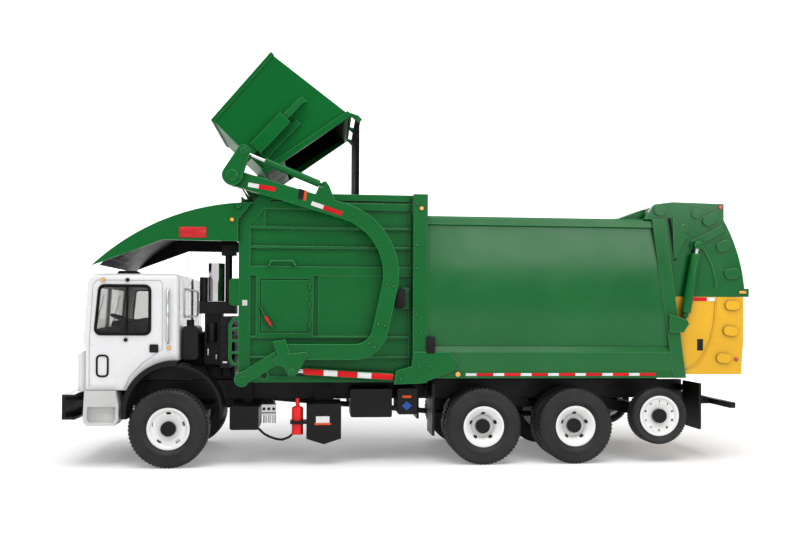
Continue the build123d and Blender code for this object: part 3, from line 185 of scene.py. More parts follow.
def paint(name, colour, rough=0.3, coat=0.5, vary=0.05, gloss=0.5, edge=None):
    """Sprayed enamel: slight cloudiness, orange peel, a clear coat, painted shade in the corners and, where
    given, a painted highlight on the edges.
    """
    enamel = Surface(name, colour, rough)
    rolled = enamel.rolled_edge()
    cover = enamel.mottle(enamel.noise(scale=28.0), dark=1 - vary, light=1 + vary)
    # painted highlight: lighter colour on the edges
    if edge:
        cover = enamel.painted_edge_highlight(rolled, cover, edge)
    # painted shade: the colour darkens in corners and recesses, by ambient occlusion
    corner = enamel.add("ShaderNodeAmbientOcclusion", {"Distance": CORNER_SHADE_REACH}, {"Color": cover})
    corner.samples = CORNER_SHADE_SAMPLES
    enamel.feed("Base Color", corner.outputs["Color"])
    enamel.roughen(scale=90.0, less=0.05, more=0.07)
    enamel.bump(enamel.noise(scale=1400.0, detail=FINE), strength=0.08, distance=0.00008, under=rolled)
    enamel.set("Specular IOR Level", gloss)
    enamel.set("Coat Weight", coat)
    enamel.set("Coat Roughness", COAT_ROUGH)
    return enamel.material


def plastic(name, colour, rough=0.45, grain=900.0, depth=0.00012, strength=0.25, gloss=0.3):
    """Moulded plastic with a fine spark-eroded grain."""
    moulded = Surface(name, colour, rough)
    moulded.set("Specular IOR Level", gloss)
    moulded.feed("Base Color", moulded.mottle(moulded.noise(scale=45.0), dark=0.85, light=1.18))
    moulded.roughen(scale=160.0, less=0.07, more=0.09)
    moulded.bump(moulded.noise(grain, FINE), strength, depth)
    return moulded.material


def metal(name, colour, rough, stretch=None):
    """Bare or plated metal, brushed along one axis when stretched."""
    bare = Surface(name, colour, rough, metal=1.0)
    grain = bare.noise(500.0, FINE, stretch)
    bare.feed("Roughness", bare.spread(grain, low=rough * 0.75, high=rough * 1.4))
    bare.feed("Base Color", bare.mottle(bare.noise(scale=60.0), dark=0.9, light=1.05))
    bare.bump(grain, strength=0.06, distance=0.00005)
    return bare.material


def rubber(name):
    """Soft black rubber, a little dusty."""
    soft = Surface(name, (0.012, 0.012, 0.012), rough=0.6)
    soft.set("Specular IOR Level", 0.32)
    dust = soft.noise(scale=70.0, detail=5.0)
    soft.feed("Base Color", soft.tint(dust, (0.004, 0.004, 0.004), (0.013, 0.012, 0.012)))
    soft.roughen(scale=220.0, less=0.18, more=0.0)
    soft.bump(soft.noise(scale=1600.0, detail=FINE), strength=0.25, distance=0.0001)
    return soft.material


def clear(name, colour, rough=0.03):
    """Clear or tinted moulded pane."""
    pane = Surface(name, colour, rough)
    pane.set("Transmission Weight", 1.0)
    pane.set("IOR", PANE_IOR)
    pane.roughen(scale=120.0, less=0.0, more=0.04)
    return pane.material


def lens(name, colour):
    """Moulded lamp lens with fine prisms."""
    moulded = Surface(name, colour, rough=0.15)
    prisms = moulded.add("ShaderNodeTexWave", {"Scale": 700.0}, {"Vector": moulded.place}).outputs["Fac"]
    moulded.feed("Base Color", moulded.mottle(prisms, dark=0.75, light=1.15))
    moulded.bump(prisms, strength=0.3, distance=0.0001)
    moulded.set("Coat Weight", 0.6)
    return moulded.material


# green, and the lighter green of its painted edge highlight
GREEN, GREEN_EDGE_HIGHLIGHT = (0.003, 0.122, 0.023), (0.095, 0.390, 0.150)
BLACK = (0.006, 0.006, 0.006)
BRUSHED = (1.0, 1.0, 0.06)
TAPE_GRAIN = {"grain": 2200.0, "depth": 0.00005, "strength": 0.2}
LABEL_COLOURS = {"white": (0.70, 0.70, 0.70), "black": (0.008, 0.008, 0.008),
                 "blue": (0.03, 0.10, 0.42), "orange": (0.72, 0.09, 0.02)}

materials = {
    "white_paint": paint("white enamel", (0.80, 0.80, 0.81), rough=0.28, coat=0.3, vary=0.008),
    "green_paint": paint("green enamel", GREEN, rough=0.26, coat=0.05, gloss=0.12, edge=GREEN_EDGE_HIGHLIGHT),
    "yellow_paint": paint("yellow enamel", (0.82, 0.44, 0.008), coat=0.15, gloss=0.3),
    "black_paint": paint("black chassis paint", (0.006, 0.006, 0.007), rough=0.4, coat=0.02, vary=0.2,
                         gloss=0.16),
    "black_plastic": plastic("black plastic", BLACK, rough=0.42, gloss=0.16),
    "grey_plastic": plastic("light grey plastic", (0.62, 0.62, 0.61), rough=0.4),
    "tyre_rubber": rubber("tyre rubber"),
    "wheel_white": paint("white wheel enamel", (0.89, 0.89, 0.88), coat=0.4, vary=0.03),
    "chrome": metal("chrome plate", (0.58, 0.58, 0.59), rough=0.1),
    "steel": metal("brushed steel", (0.5, 0.5, 0.5), rough=0.3, stretch=BRUSHED),
    "glass": clear("window pane", (0.60, 0.60, 0.59)),
    "lamp_clear": lens("clear lamp lens", (0.75, 0.76, 0.78)),
    "amber": lens("amber lens", (0.88, 0.38, 0.01)),
    "red": lens("red lens", (0.5, 0.012, 0.012)),
}

# Trim whose look differs from its slot's
tape_red = plastic("red reflective tape", (0.66, 0.010, 0.016), rough=0.32, gloss=0.12, **TAPE_GRAIN)
tape_white = plastic("white reflective tape", (0.78, 0.78, 0.78), rough=0.3, **TAPE_GRAIN)
red_enamel = paint("red enamel", (0.56, 0.010, 0.012), rough=0.28, coat=0.12, gloss=0.25)
gap_grey = plastic("shadowed panel gap", (0.42, 0.42, 0.43), rough=0.7)
gasket = plastic("window gasket", BLACK, rough=0.5, gloss=0.08)
# matt black of the painted shade inside the bin
painted_shade_black = plastic("matt black bin lining", BLACK, rough=0.7, gloss=0.03)
label_paper = {name: plastic(f"blank {name} label", colour, rough=0.4, gloss=0.15)
               for name, colour in LABEL_COLOURS.items()}

# Nodes whose look differs from their slot's
polished = paint("polished green enamel", GREEN, rough=0.17, coat=0.05, gloss=0.20, edge=GREEN_EDGE_HIGHLIGHT)
own_looks = {
    # painted light: a lighter copy of the red enamel, brightened against the shade under the body
    "fire_extinguisher": paint("extinguisher enamel", (0.90, 0.012, 0.012), rough=0.28, coat=0.12,
                               gloss=0.25),
    "body_side_walls": polished,
    "tailgate_upper": polished,
    "bin_shell": paint("bin enamel", GREEN, rough=0.4, coat=0.0, gloss=0.06, edge=GREEN_EDGE_HIGHLIGHT),
    "bin_lids": plastic("matt black lid plastic", BLACK, rough=0.7, gloss=0.05),
}

for row in frame["record"]["subparts"]:
    node = frame["nodes"][row["node"]]
    node.data.materials.clear()
    node.data.materials.append(own_looks.get(row["node"], materials[row["material_slot"]]))


# Shapes

FLAT_ANGLE, TREAD_ANGLE = 35, 30          # degrees: sharper edges are shaded as edges
BEVEL_STEPS = 2


def link_object(name, data):
    obj = bpy.data.objects.new(name, data)
    bpy.context.scene.collection.objects.link(obj)
    return obj


def smooth_object(name, mesh, mat):
    """Object made from a finished mesh and shaded smooth."""
    data = bpy.data.meshes.new(name)
    mesh.to_mesh(data)
    mesh.free()
    data.materials.append(mat)
    for poly in data.polygons:
        poly.use_smooth = True
    return link_object(name, data)


class Shape:
    """Collects solids in one mesh; `twin` adds the mirror image on the truck's other side."""

    def __init__(self, twin=True):
        self.mesh = bmesh.new()
        self.twin = twin

    def mirror(self, verts):
        if not self.twin:
            return
        faces = list({face for vert in verts for face in vert.link_faces})
        made = bmesh.ops.duplicate(self.mesh, geom=faces)["geom"]
        for vert in [item for item in made if isinstance(item, bmesh.types.BMVert)]:
            vert.co.y = -vert.co.y
        turned = [item for item in made if isinstance(item, bmesh.types.BMFace)]
        bmesh.ops.reverse_faces(self.mesh, faces=turned)

    def prism(self, outline, y0, y1):
        """Side-view outline made solid between two widths."""
        near = [self.mesh.verts.new(at(x, y0, z)) for x, z in outline]
        far = [self.mesh.verts.new(at(x, y1, z)) for x, z in outline]
        count = len(outline)
        self.mesh.faces.new(near)
        self.mesh.faces.new(far[::-1])
        for k in range(count):
            nxt = (k + 1) % count
            self.mesh.faces.new((near[nxt], near[k], far[k], far[nxt]))
        self.mirror(near + far)

    def box(self, x0, x1, y0, y1, z0, z1):
        self.prism([(x0, z0), (x1, z0), (x1, z1), (x0, z1)], y0, y1)

    def rod(self, start, end, r, sides):
        a, b = at(*start), at(*end)
        run = b - a
        turn = run.to_track_quat("Z", "Y").to_matrix().to_4x4()
        made = bmesh.ops.create_cone(self.mesh, cap_ends=True, segments=sides, radius1=r * MM, radius2=r * MM,
                                     depth=run.length, matrix=Matrix.Translation((a + b) / 2) @ turn)
        self.mirror(made["verts"])

    def skin(self, rings, closed=True):
        """Faces between neighbouring rings of points; a closed skin runs round both ways."""
        rings = [[self.mesh.verts.new(point) for point in ring] for ring in rings]
        followers = rings[1:] + rings[:1] if closed else rings[1:]
        for ring, nxt in zip(rings, followers):
            for k in range(len(ring) if closed else len(ring) - 1):
                t = (k + 1) % len(ring)
                self.mesh.faces.new((ring[k], ring[t], nxt[t], nxt[k]))
        self.mirror([vert for ring in rings for vert in ring])

    def tube(self, start, end, r, bore, sides):
        a, b = at(*start), at(*end)
        turn = (b - a).to_track_quat("Z", "Y").to_matrix()
        angles = [2 * math.pi * k / sides for k in range(sides)]
        circle = [turn @ Vector((math.cos(t), math.sin(t), 0.0)) for t in angles]
        ends = ((a, bore), (a, r), (b, r), (b, bore))
        self.skin([[middle + spoke * radius * MM for spoke in circle] for middle, radius in ends])

    def piece(self, name, body, slot, bevel=0.0, mat=None, flat=FLAT_ANGLE):
        """The finished object, in its slot's material unless another is given."""
        bmesh.ops.recalc_face_normals(self.mesh, faces=self.mesh.faces)
        obj = smooth_object(name, self.mesh, mat or materials[slot])
        if bevel:
            mod = obj.modifiers.new("soft edges", "BEVEL")
            mod.width = bevel * MM
            mod.segments = BEVEL_STEPS
            mod.limit_method = "ANGLE"
        mod = obj.modifiers.new("flat faces", "EDGE_SPLIT")
        mod.split_angle = math.radians(flat)
        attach(obj, body)
        return obj


def rect(x0, x1, z0, z1):
    return [(x0, z0), (x0, z1), (x1, z1), (x1, z0)]


def rounded(corners, r, steps=5):
    """Outline with its corners rounded, as points."""
    out = []
    count = len(corners)
    for k in range(count):
        p = Vector(corners[k])
        a = (Vector(corners[k - 1]) - p).normalized()
        b = (Vector(corners[(k + 1) % count]) - p).normalized()
        half = a.angle(b) / 2
        reach = r / math.tan(half)
        centre = p + (a + b).normalized() * (r / math.sin(half))
        first, last = p + a * reach - centre, p + b * reach - centre
        for s in range(steps + 1):
            out.append(tuple(centre + first.slerp(last, s / steps) * r))
    return out


def arc(first, second, third, count):
    """Points of the circle through three side-view points, from the first to the third."""
    (ax, ay), (bx, by), (cx, cy) = first, second, third
    d = 2 * (ax * (by - cy) + bx * (cy - ay) + cx * (ay - by))
    a2, b2, c2 = ax * ax + ay * ay, bx * bx + by * by, cx * cx + cy * cy
    middle = Vector(((a2 * (by - cy) + b2 * (cy - ay) + c2 * (ay - by)) / d,
                     (a2 * (cx - bx) + b2 * (ax - cx) + c2 * (bx - ax)) / d))
    start, end = Vector(first) - middle, Vector(third) - middle
    return [tuple(middle + start.slerp(end, k / count) * start.length) for k in range(count + 1)]


def side_view(outline, y):
    return [(x, y, z) for x, z in outline]


def line(name, points, r, body, slot, mat=None, closed=False, sides=2):
    """A bead, rail or panel gap that follows points given as station, width and height."""
    data = bpy.data.curves.new(name, "CURVE")
    data.dimensions = "3D"
    data.bevel_depth = r * MM
    data.bevel_resolution = sides
    data.use_fill_caps = True
    spline = data.splines.new("POLY")
    spline.points.add(len(points) - 1)
    for knot, point in zip(spline.points, points):
        knot.co = (*at(*point), 1)
    spline.use_cyclic_u = closed
    data.materials.append(mat or materials[slot])
    obj = link_object(name, data)
    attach(obj, body)


def both_sides(name, points, *rest, **more):
    for side, sign in (("L", 1), ("R", -1)):
        line(f"{name}_{side}", [(x, y * sign, z) for x, y, z in points], *rest, **more)


# Plates and round heads

# name, body, slot, on both sides, soft edge, widths that it lies between, corner radius, outline
PLATES = (
    ("dashboard_cover", "root", "black_plastic", False, 0.3, -28.0, 28.0, 0.6,
     [(10.2, 46.0), (10.4, 54.0), (13.6, 55.2), (16.0, 51.8), (16.0, 46.0)]),
    ("engine_cover", "root", "black_plastic", False, 0.4, -8.0, 8.0, 1.0,
     [(12.0, 46.0), (12.6, 57.6), (22.0, 58.4), (37.0, 57.6), (37.6, 46.0)]),
    ("roof_vents", "root", "black_plastic", True, 0.2, -20.0, -14.0, 0.5,
     [(17.0, 76.4), (18.2, 78.2), (25.0, 78.2), (26.6, 76.4)]),
    ("work_lamp_brackets", "root", "green_paint", True, 0.15, -HOPPER_SIDE - 0.9, -HOPPER_SIDE + 0.3, 0.8,
     rect(132.8, 136.9, 63.2, 71.9)),
    ("hopper_work_lamps", "root", "black_plastic", True, 0.2, -HOPPER_SIDE - 2.4, -HOPPER_SIDE - 0.5, 0.9,
     rect(130.5, 134.2, 63.7, 71.4)),
    ("body_side_lamps", "root", "black_plastic", True, 0.2, -37.2, -35.8, 0.6,
     rect(142.6, 146.2, 45.3, 52.0)),
    ("tailgate_amber_lamps", "tailgate", "amber", True, 0.08, -GATE_SIDE - 0.5, -GATE_SIDE + 0.3, 0.3,
     rect(275.6, 278.6, 70.6, 71.7)),
)

# name, body, slot, soft edge, radius, sides, face, out of it, into it, places
HEADS = (
    ("bracket_bolts", "root", "green_paint", 0.04, 0.6, 6, BRACKET_SIDE, 0.4, 0.05,
     ((139.8, 40.1), (144.0, 40.1), (132.3, 35.0))),
    ("post_bolts", "root", "green_paint", 0.04, 0.5, 6, POST_SIDE, 0.4, 0.05,
     ((138.4, 105.4), (138.4, 88.9), (138.4, 79.7), (138.4, 61.0), (138.4, 54.0))),
    ("arm_bolts", "arms", "green_paint", 0.04, 0.5, 6, ARM_SIDE, 0.4, 0.05,
     ((126.2, 73.1), (129.0, 72.1), (122.9, 57.0), (125.7, 56.5), (119.4, 49.4), (121.6, 48.0))),
    ("canopy_bosses", "root", "green_paint", 0.12, 1.1, 20, CANOPY_SIDE, 1.05, 0.05, ((67.5, 103.9),)),
    ("fork_shaft_caps", "forks", "green_paint", 0.1, 2.3, 28, CRANK_SIDE, 0.32, 0.1, (SHAFT,)),
    ("gate_rod_eye_caps", "gate_rods", "green_paint", 0.1, 1.7, 24, GATE_EYE_SIDE, 0.45, 0.0,
     (GATE_ROD_PIN,)),
)


def plates():
    for name, body, slot, twin, bevel, y0, y1, radius, corners in PLATES:
        shape = Shape(twin)
        shape.prism(rounded(corners, radius), y0, y1)
        shape.piece(name, body, slot, bevel)


def heads():
    for name, body, slot, bevel, radius, sides, face, out, deep, places in HEADS:
        shape = Shape()
        for x, z in places:
            shape.rod((x, deep - face, z), (x, -face - out, z), radius, sides)
        shape.piece(name, body, slot, bevel)


# Cab trim

WINDOW = [(12.0, 52.7), (13.8, 71.7), (33.0, 71.7), (33.0, 52.7)]
PEEP = rect(12.8, 17.0, 36.0, 44.2)
DIVIDER = [(24.0, 53.0), (24.2, 71.5)]
DOOR = [(37.9, 46.6), (37.9, 72.6), (36.9, 73.9), (12.8, 73.9), (11.2, 72.2), (9.9, 50.0), (9.9, 32.0)]
DOOR_FOOT = [(37.9, 46.6), (30.0, 41.0), (25.2, 35.6), (23.4, 31.0)]
# name, side-view points, depth in the side, radius, material, closed
CAB_BEADS = (("side_window_gasket", rounded(WINDOW, 2.0), 0.0, 0.62, gasket, True),
             ("peep_window_gasket", rounded(PEEP, 1.4), 0.0, 0.38, gasket, True),
             ("window_divider", DIVIDER, 0.3, 0.42, gasket, False),
             ("door_gap", DOOR, 0.0, 0.12, gap_grey, False),
             ("door_foot_gap", DOOR_FOOT, 0.0, 0.12, gap_grey, False))

SCREEN = rounded(rect(-28.6, -0.8, 53.0, 71.5), 1.4)              # widths and heights
REAR_WINDOW, REAR_WINDOW_X = rounded(rect(-19.0, 19.0, 59.5, 70.9), 1.6), 44.3
SCREEN_X, SCREEN_FOOT, SCREEN_LEAN = 7.6, 50.0, 1.6 / 23.0        # station at the foot, and its slope

HANDLE = rounded(rect(33.0, 36.4, 45.4, 48.6), 0.5)
MIRROR_SOCKETS = ((24.4, 74.0), (23.8, 50.4))
# station, distance from the cab's side, height
GRAB_RAIL = ((40.1, 0.1, 49.2), (40.1, 1.1, 50.2), (40.1, 1.1, 69.4), (40.1, 0.1, 70.4))

SEAT_BACK = rounded([(26.0, 46.0), (27.4, 58.6), (30.6, 59.4), (31.4, 46.0)], 1.0)
SEAT = rounded([(17.6, 45.0), (17.6, 50.4), (27.0, 50.0), (27.0, 45.0)], 0.8)
SEAT_SIDES = (-25.0, -9.0)
WIPER_PIVOTS = (-20.0, 8.0)


def cab_trim():
    face = -CAB_SIDE
    for name, outline, depth, radius, mat, closed in CAB_BEADS:
        both_sides(name, side_view(outline, face + depth), radius, "root", "black_plastic", mat, closed)
    bead = [(SCREEN_X + (z - SCREEN_FOOT) * SCREEN_LEAN, y, z) for y, z in SCREEN]
    both_sides("windscreen_gasket", bead, 0.5, "root", "black_plastic", gasket, closed=True)
    bead = [(REAR_WINDOW_X, y, z) for y, z in REAR_WINDOW]
    line("rear_window_gasket", bead, 0.45, "root", "grey_plastic", closed=True)

    handle = Shape()
    handle.prism(HANDLE, face - 0.35, face + 0.2)
    for x, z in MIRROR_SOCKETS:
        handle.rod((x, face - 0.5, z), (x, face + 0.2, z), r=0.75, sides=18)
    handle.piece("door_handles_and_mirror_sockets", "root", "black_plastic", bevel=0.12)
    rail = [(x, face - out, z) for x, out, z in GRAB_RAIL]
    both_sides("grab_rail", rail, 0.42, "root", "chrome", sides=4)

    seats = Shape()
    seats.prism(SEAT_BACK, *SEAT_SIDES)
    seats.prism(SEAT, *SEAT_SIDES)
    seats.piece("seat_covers", "root", "black_plastic", bevel=0.3)

    wipers = Shape(twin=False)
    for y in WIPER_PIVOTS:
        wipers.rod((7.2, y, 52.4), (7.9, y + 12.0, 64.0), r=0.25, sides=8)
        wipers.rod((7.3, y + 7.0, 56.6), (8.1, y + 15.0, 68.6), r=0.2, sides=8)
    wipers.piece("wipers", "root", "black_plastic")

    strip = Shape(twin=False)
    strip.box(0.05, 5.0, -33.5, 33.5, 28.95, 29.2)
    strip.piece("bumper_tread_strip", "root", "steel", bevel=0.05)


# Reflective tape and labels

TAPES = (("red", tape_red, "red"), ("white", tape_white, "white_paint"))
TAPE_LONG = {"r": 6.9, "w": 4.4}            # a red piece is longer than a white one
TAPE_OUT, TAPE_IN = 0.08, 0.02
# name, start and end of the run, width, face, body, colours
TAPE_RUNS = (("sill_tape", (158.8, 37.0), (238.4, 37.0), 1.5, SILL_SIDE, "root", "wrwrwrwrwrwrwr"),
             ("arm_tape_front", (71.7, 111.5), (82.3, 109.8), 1.7, ARM_SIDE, "arms", "wr"),
             ("arm_tape_rear", (96.4, 104.7), (108.4, 100.7), 1.7, ARM_SIDE, "arms", "wr"),
             ("tailgate_tape", (255.2, 68.1), (265.6, 68.1), 1.5, GATE_SIDE, "tailgate", "rw"))

# Tape on the outer side of the lift cylinders: ends of its pieces from the base pin, angles round the barrel
LIFT_BANDS = (2.8, 11.4, 16.9, 25.0, 30.5, 38.7)
LIFT_ANGLES = range(-40, 41, 10)
LIFT_Y, LIFT_TAPE_R = 33.7, 1.8

LABEL_OUT, LABEL_IN = 0.06, 0.02
# name, colour, slot, body, face, corners: places of the printed labels, left plain
LABELS = (
    ("arm_label", "black", "black_plastic", "arms", ARM_SIDE,
     ((91.0, 106.4), (91.5, 110.4), (93.6, 109.8), (93.1, 105.8))),
    ("arm_label_edge", "orange", "red", "arms", ARM_SIDE,
     ((93.1, 105.8), (93.6, 109.8), (94.7, 109.5), (94.2, 105.5))),
    ("post_label", "white", "white_paint", "root", HOPPER_SIDE, rect(69.0, 71.0, 64.2, 66.4)),
    ("tank_label", "white", "white_paint", "root", TANK_SIDE, rect(98.6, 104.0, 17.4, 20.0)),
    ("tank_label_band", "orange", "red", "root", TANK_SIDE + LABEL_IN, rect(98.0, 104.6, 16.6, 17.3)),
    ("box_label", "orange", "red", "root", BOX_SIDE, rect(133.4, 137.0, 27.2, 28.2)),
    ("box_diamond", "blue", "black_plastic", "root", BOX_SIDE,
     ((133.2, 24.0), (135.2, 25.8), (137.2, 24.0), (135.2, 22.2))),
    ("gate_label", "black", "black_plastic", "tailgate", GATE_SIDE, rect(257.4, 260.0, 46.6, 51.4)),
)


def straight_tapes():
    for name, start, end, width, side, body, colours in TAPE_RUNS:
        a, b = Vector(start), Vector(end)
        run = (b - a) / sum(TAPE_LONG[c] for c in colours)
        across = Vector((-run.y, run.x)).normalized() * width / 2
        for colour, mat, slot in TAPES:
            shape = Shape()
            p = a
            for c in colours:
                q = p + run * TAPE_LONG[c]
                if c == colour[0]:
                    corners = (p - across, q - across, q + across, p + across)
                    shape.prism([tuple(corner) for corner in corners], -side - TAPE_OUT, -side + TAPE_IN)
                p = q
            shape.piece(f"{name}_{colour}", body, slot, mat=mat)


def lift_cylinder_tapes():
    base = Vector(LIFT_BASE)
    axis = (Vector(LIFT_PIN) - base).normalized()
    up = Vector((-axis.y, axis.x))

    def ring(reach):
        points = []
        for angle in LIFT_ANGLES:
            a = math.radians(angle)
            p = base + axis * reach + up * (LIFT_TAPE_R * math.sin(a))
            points.append(at(p.x, -LIFT_Y - LIFT_TAPE_R * math.cos(a), p.y))
        return points

    bands = list(zip(LIFT_BANDS, LIFT_BANDS[1:]))
    for first, (colour, mat, slot) in enumerate(TAPES):
        shape = Shape()
        for start, end in bands[first::2]:
            shape.skin([ring(start), ring(end)], closed=False)
        shape.piece(f"lift_cylinder_tape_{colour}", "lift_barrels", slot, mat=mat)


def labels():
    for name, colour, slot, body, side, corners in LABELS:
        shape = Shape(twin=False)
        shape.prism(corners, -side - LABEL_OUT, -side + LABEL_IN)
        shape.piece(name, body, slot, mat=label_paper[colour])


# Hopper and canopy trim

CANOPY_ARC, CANOPY_STEPS = ((13.6, 79.9), (36.2, 96.0), (66.8, 102.9)), 16     # just inside its top
CANOPY_INSIDE = 32.0
CANOPY_EDGE, CANOPY_RISE, CANOPY_LEVEL = (10.8, 79.9), 10.4 / 27.2, 90.1       # lower edge of its sides
# painted shade sheets under the canopy: thickness under the top, least height, widths at the sides
TOP_SHADE_SHEET, LEAST_HEIGHT = 0.15, 0.2
SIDE_SHADE_SHEETS = (-32.08, -31.98)

HINGE_X, HINGE_HEIGHTS, HINGE_HALF = 95.8, (56.2, 64.2, 72.2), 1.3
# name, slot, material, radius, and its points: station, distance from the hopper's side, height
HOPPER_RODS = (
    ("hopper_grab_handle", "green_paint", None, 0.4,
     ((79.6, -0.2, 80.3), (79.7, 1.3, 80.5), (80.5, 1.5, 82.2), (89.0, 1.5, 82.3), (90.1, 1.3, 80.6),
      (90.2, -0.2, 80.4))),
    ("hopper_latch", "green_paint", None, 0.35,
     ((76.1, 0.4, 63.8), (77.6, 0.9, 61.0), (81.0, 0.9, 55.6), (81.5, 0.2, 55.0))),
    ("hopper_latch_grip", "red", red_enamel, 0.62,
     ((78.2, 0.95, 59.9), (80.5, 0.95, 56.3))),
)


def canopy_painted_shade():
    """Painted shade: black sheets just inside the canopy's top and its sides, where its underside lies in
    shade.
    """
    def lower_edge(x):
        x0, z0 = CANOPY_EDGE
        return min(CANOPY_LEVEL, z0 + (x - x0) * CANOPY_RISE)

    top = arc(*CANOPY_ARC, CANOPY_STEPS)
    strip, sides = Shape(twin=False), Shape()
    for (x0, z0), (x1, z1) in zip(top, top[1:]):
        outline = [(x0, z0), (x1, z1), (x1, z1 - TOP_SHADE_SHEET), (x0, z0 - TOP_SHADE_SHEET)]
        strip.prism(outline, -CANOPY_INSIDE, CANOPY_INSIDE)
        low0, low1 = lower_edge(x0), lower_edge(x1)
        if min(z0 - low0, z1 - low1) > LEAST_HEIGHT:
            sides.prism([(x0, low0), (x1, low1), (x1, z1), (x0, z0)], *SIDE_SHADE_SHEETS)
    strip.piece("canopy_painted_shade", "root", "black_paint")
    sides.piece("canopy_side_painted_shade", "root", "black_paint")


def hopper_trim():
    face = -HOPPER_SIDE
    hinges = Shape()
    for z in HINGE_HEIGHTS:
        foot, head = (HINGE_X, face - 0.1, z - HINGE_HALF), (HINGE_X, face - 0.1, z + HINGE_HALF)
        hinges.rod(foot, head, r=0.5, sides=12)
    hinges.piece("hopper_door_hinges", "root", "green_paint", bevel=0.08)
    for name, slot, mat, radius, points in HOPPER_RODS:
        path = [(x, face - out, z) for x, out, z in points]
        both_sides(name, path, radius, "root", slot, mat, sides=3)
    plate = Shape()
    plate.box(44.4, 55.0, -CANOPY_SIDE - 0.2, -CANOPY_SIDE, 90.9, 95.2)
    plate.piece("blank_canopy_plates", "root", "red", bevel=0.04, mat=red_enamel)


# Bin

BIN_CORNER, BIN_TILT = (56.4, 139.1), math.radians(47.5)
BIN_INSIDE = 24.8
# inside faces of the low wall, the tall wall and the base, from end to end: u along the base, v up the walls
BIN_WALLS = (((1.20, 1.30), (0.52, 27.0)), ((35.06, -0.30), (38.72, 36.6)), ((1.20, 1.28), (35.04, -0.32)))
BIN_ROOM = ((1.22, 1.28), (35.06, -0.34), (38.72, 36.6), (0.53, 27.0))
SHADE_SHEET_THICK, WALL_END, SIDE_GAP = 0.08, 0.1, 0.02


def bin_painted_shade():
    """Painted shade: black sheets on the inside of the bin, where it lies in shade."""
    def spot(u, v):
        x, z = BIN_CORNER
        along, across = math.cos(BIN_TILT), math.sin(BIN_TILT)
        return (x + u * along + v * across, z + u * across - v * along)

    centre = Vector([sum(c) / len(BIN_ROOM) for c in zip(*BIN_ROOM)])
    shade_sheet = Shape(twin=False)
    half = BIN_INSIDE - WALL_END
    for first, last in BIN_WALLS:
        a, b = Vector(first), Vector(last)
        inward = Vector((a.y - b.y, b.x - a.x)).normalized() * SHADE_SHEET_THICK
        if inward.dot(centre - a) < 0:
            inward = -inward
        shade_sheet.prism([spot(*p) for p in (a, b, b + inward, a + inward)], -half, half)
    side = BIN_INSIDE - SIDE_GAP
    for sign in (-1, 1):
        shade_sheet.prism([spot(*p) for p in BIN_ROOM], sign * side, sign * (side - SHADE_SHEET_THICK))
    shade_sheet.piece("bin_painted_shade", "bin", "black_plastic", mat=painted_shade_black)


# Small fittings behind the cab and under the hopper

HOSE = [(75.5, 14.9), (77.6, 12.8), (79.9, 11.5), (82.6, 10.5), (85.1, 10.2), (87.8, 11.2), (89.9, 13.2)]
HOSE_Y = -30.0
# start, end, radius, sides
ENGINE_FITTINGS = (((54.0, -19.0, 43.6), (54.0, -19.0, 46.4), 0.7, 18),
                   ((57.4, -19.0, 42.0), (57.4, -19.0, 44.0), 0.6, 18),
                   ((60.6, -24.4, 41.0), (62.6, -24.4, 41.0), 0.5, 16))
RIB_HEIGHTS, RIB_THICK = (42.0, 45.4, 48.8, 52.2, 55.6), 1.0
KNOBS = (77.9, 79.8, 81.7)


def fittings():
    line("valve_hose", side_view(HOSE, HOSE_Y), 0.5, "root", "black_plastic", sides=4)
    bits = Shape(twin=False)
    for start, end, radius, sides in ENGINE_FITTINGS:
        bits.rod(start, end, radius, sides)
    bits.piece("engine_fittings", "root", "steel", bevel=0.1)
    ribs = Shape(twin=False)
    for z in RIB_HEIGHTS:
        ribs.box(59.4, 63.6, -24.3, 24.3, z, z + RIB_THICK)
    ribs.rod((55.6, -19.6, 49.0), (55.6, -19.6, 57.0), r=2.0, sides=24)
    ribs.piece("cooler_ribs", "root", "black_plastic", bevel=0.15)
    valve = Shape(twin=False)
    for x in KNOBS:
        valve.rod((x, -32.0, 22.9), (x, -32.5, 22.9), r=0.6, sides=14)
    valve.box(76.9, 82.6, -32.15, -31.9, 21.1, 21.5)
    valve.piece("valve_knobs", "root", "black_plastic", bevel=0.08)


# Tailgate trim

# station, height, radius
SIDE_LAMPS = ((267.2, 106.7, 0.9), (274.5, 42.9, 0.8))
PRESSED_LINE = [(265.4, 68.6), (265.3, 66.0), (264.8, 58.6), (263.2, 51.3), (260.2, 45.0), (257.0, 41.0),
                (252.8, 38.6)]
# painted shadow: a black strip along the gate's front edge, where the gap to the body lies in shade
GATE_GAP_SHADOW = [(244.3, 101.8), (245.6, 101.8), (248.1, 84.2), (247.1, 84.2)]
SLEEVE_Y, SLEEVE_R, SLEEVE_BORE = 35.76, 1.95, 1.2
SLEEVE_FOOT, SLEEVE_HEAD = (251.4, -SLEEVE_Y, 62.5), (255.7, -SLEEVE_Y, 86.7)


def tailgate_trim():
    face = -GATE_SIDE
    lamps = Shape()
    for x, z, radius in SIDE_LAMPS:
        lamps.rod((x, face - 0.5, z), (x, face + 0.2, z), radius, sides=20)
    lamps.piece("tailgate_side_lamps", "tailgate", "red", bevel=0.1)
    pressed = side_view(PRESSED_LINE, face)
    both_sides("tailgate_pressed_line", pressed, 0.4, "tailgate", "yellow_paint", sides=3)
    # painted shadow in the gap at the gate's front edge
    gap_shadow = Shape()
    gap_shadow.prism(GATE_GAP_SHADOW, face - 0.12, face + 0.1)
    gap_shadow.piece("tailgate_gap_shadows", "tailgate", "black_plastic", mat=gasket)
    sleeve = Shape()
    sleeve.tube(SLEEVE_FOOT, SLEEVE_HEAD, SLEEVE_R, SLEEVE_BORE, sides=28)
    sleeve.piece("gate_cylinder_sleeves", "gate_barrels", "green_paint", bevel=0.15)


# Wheels

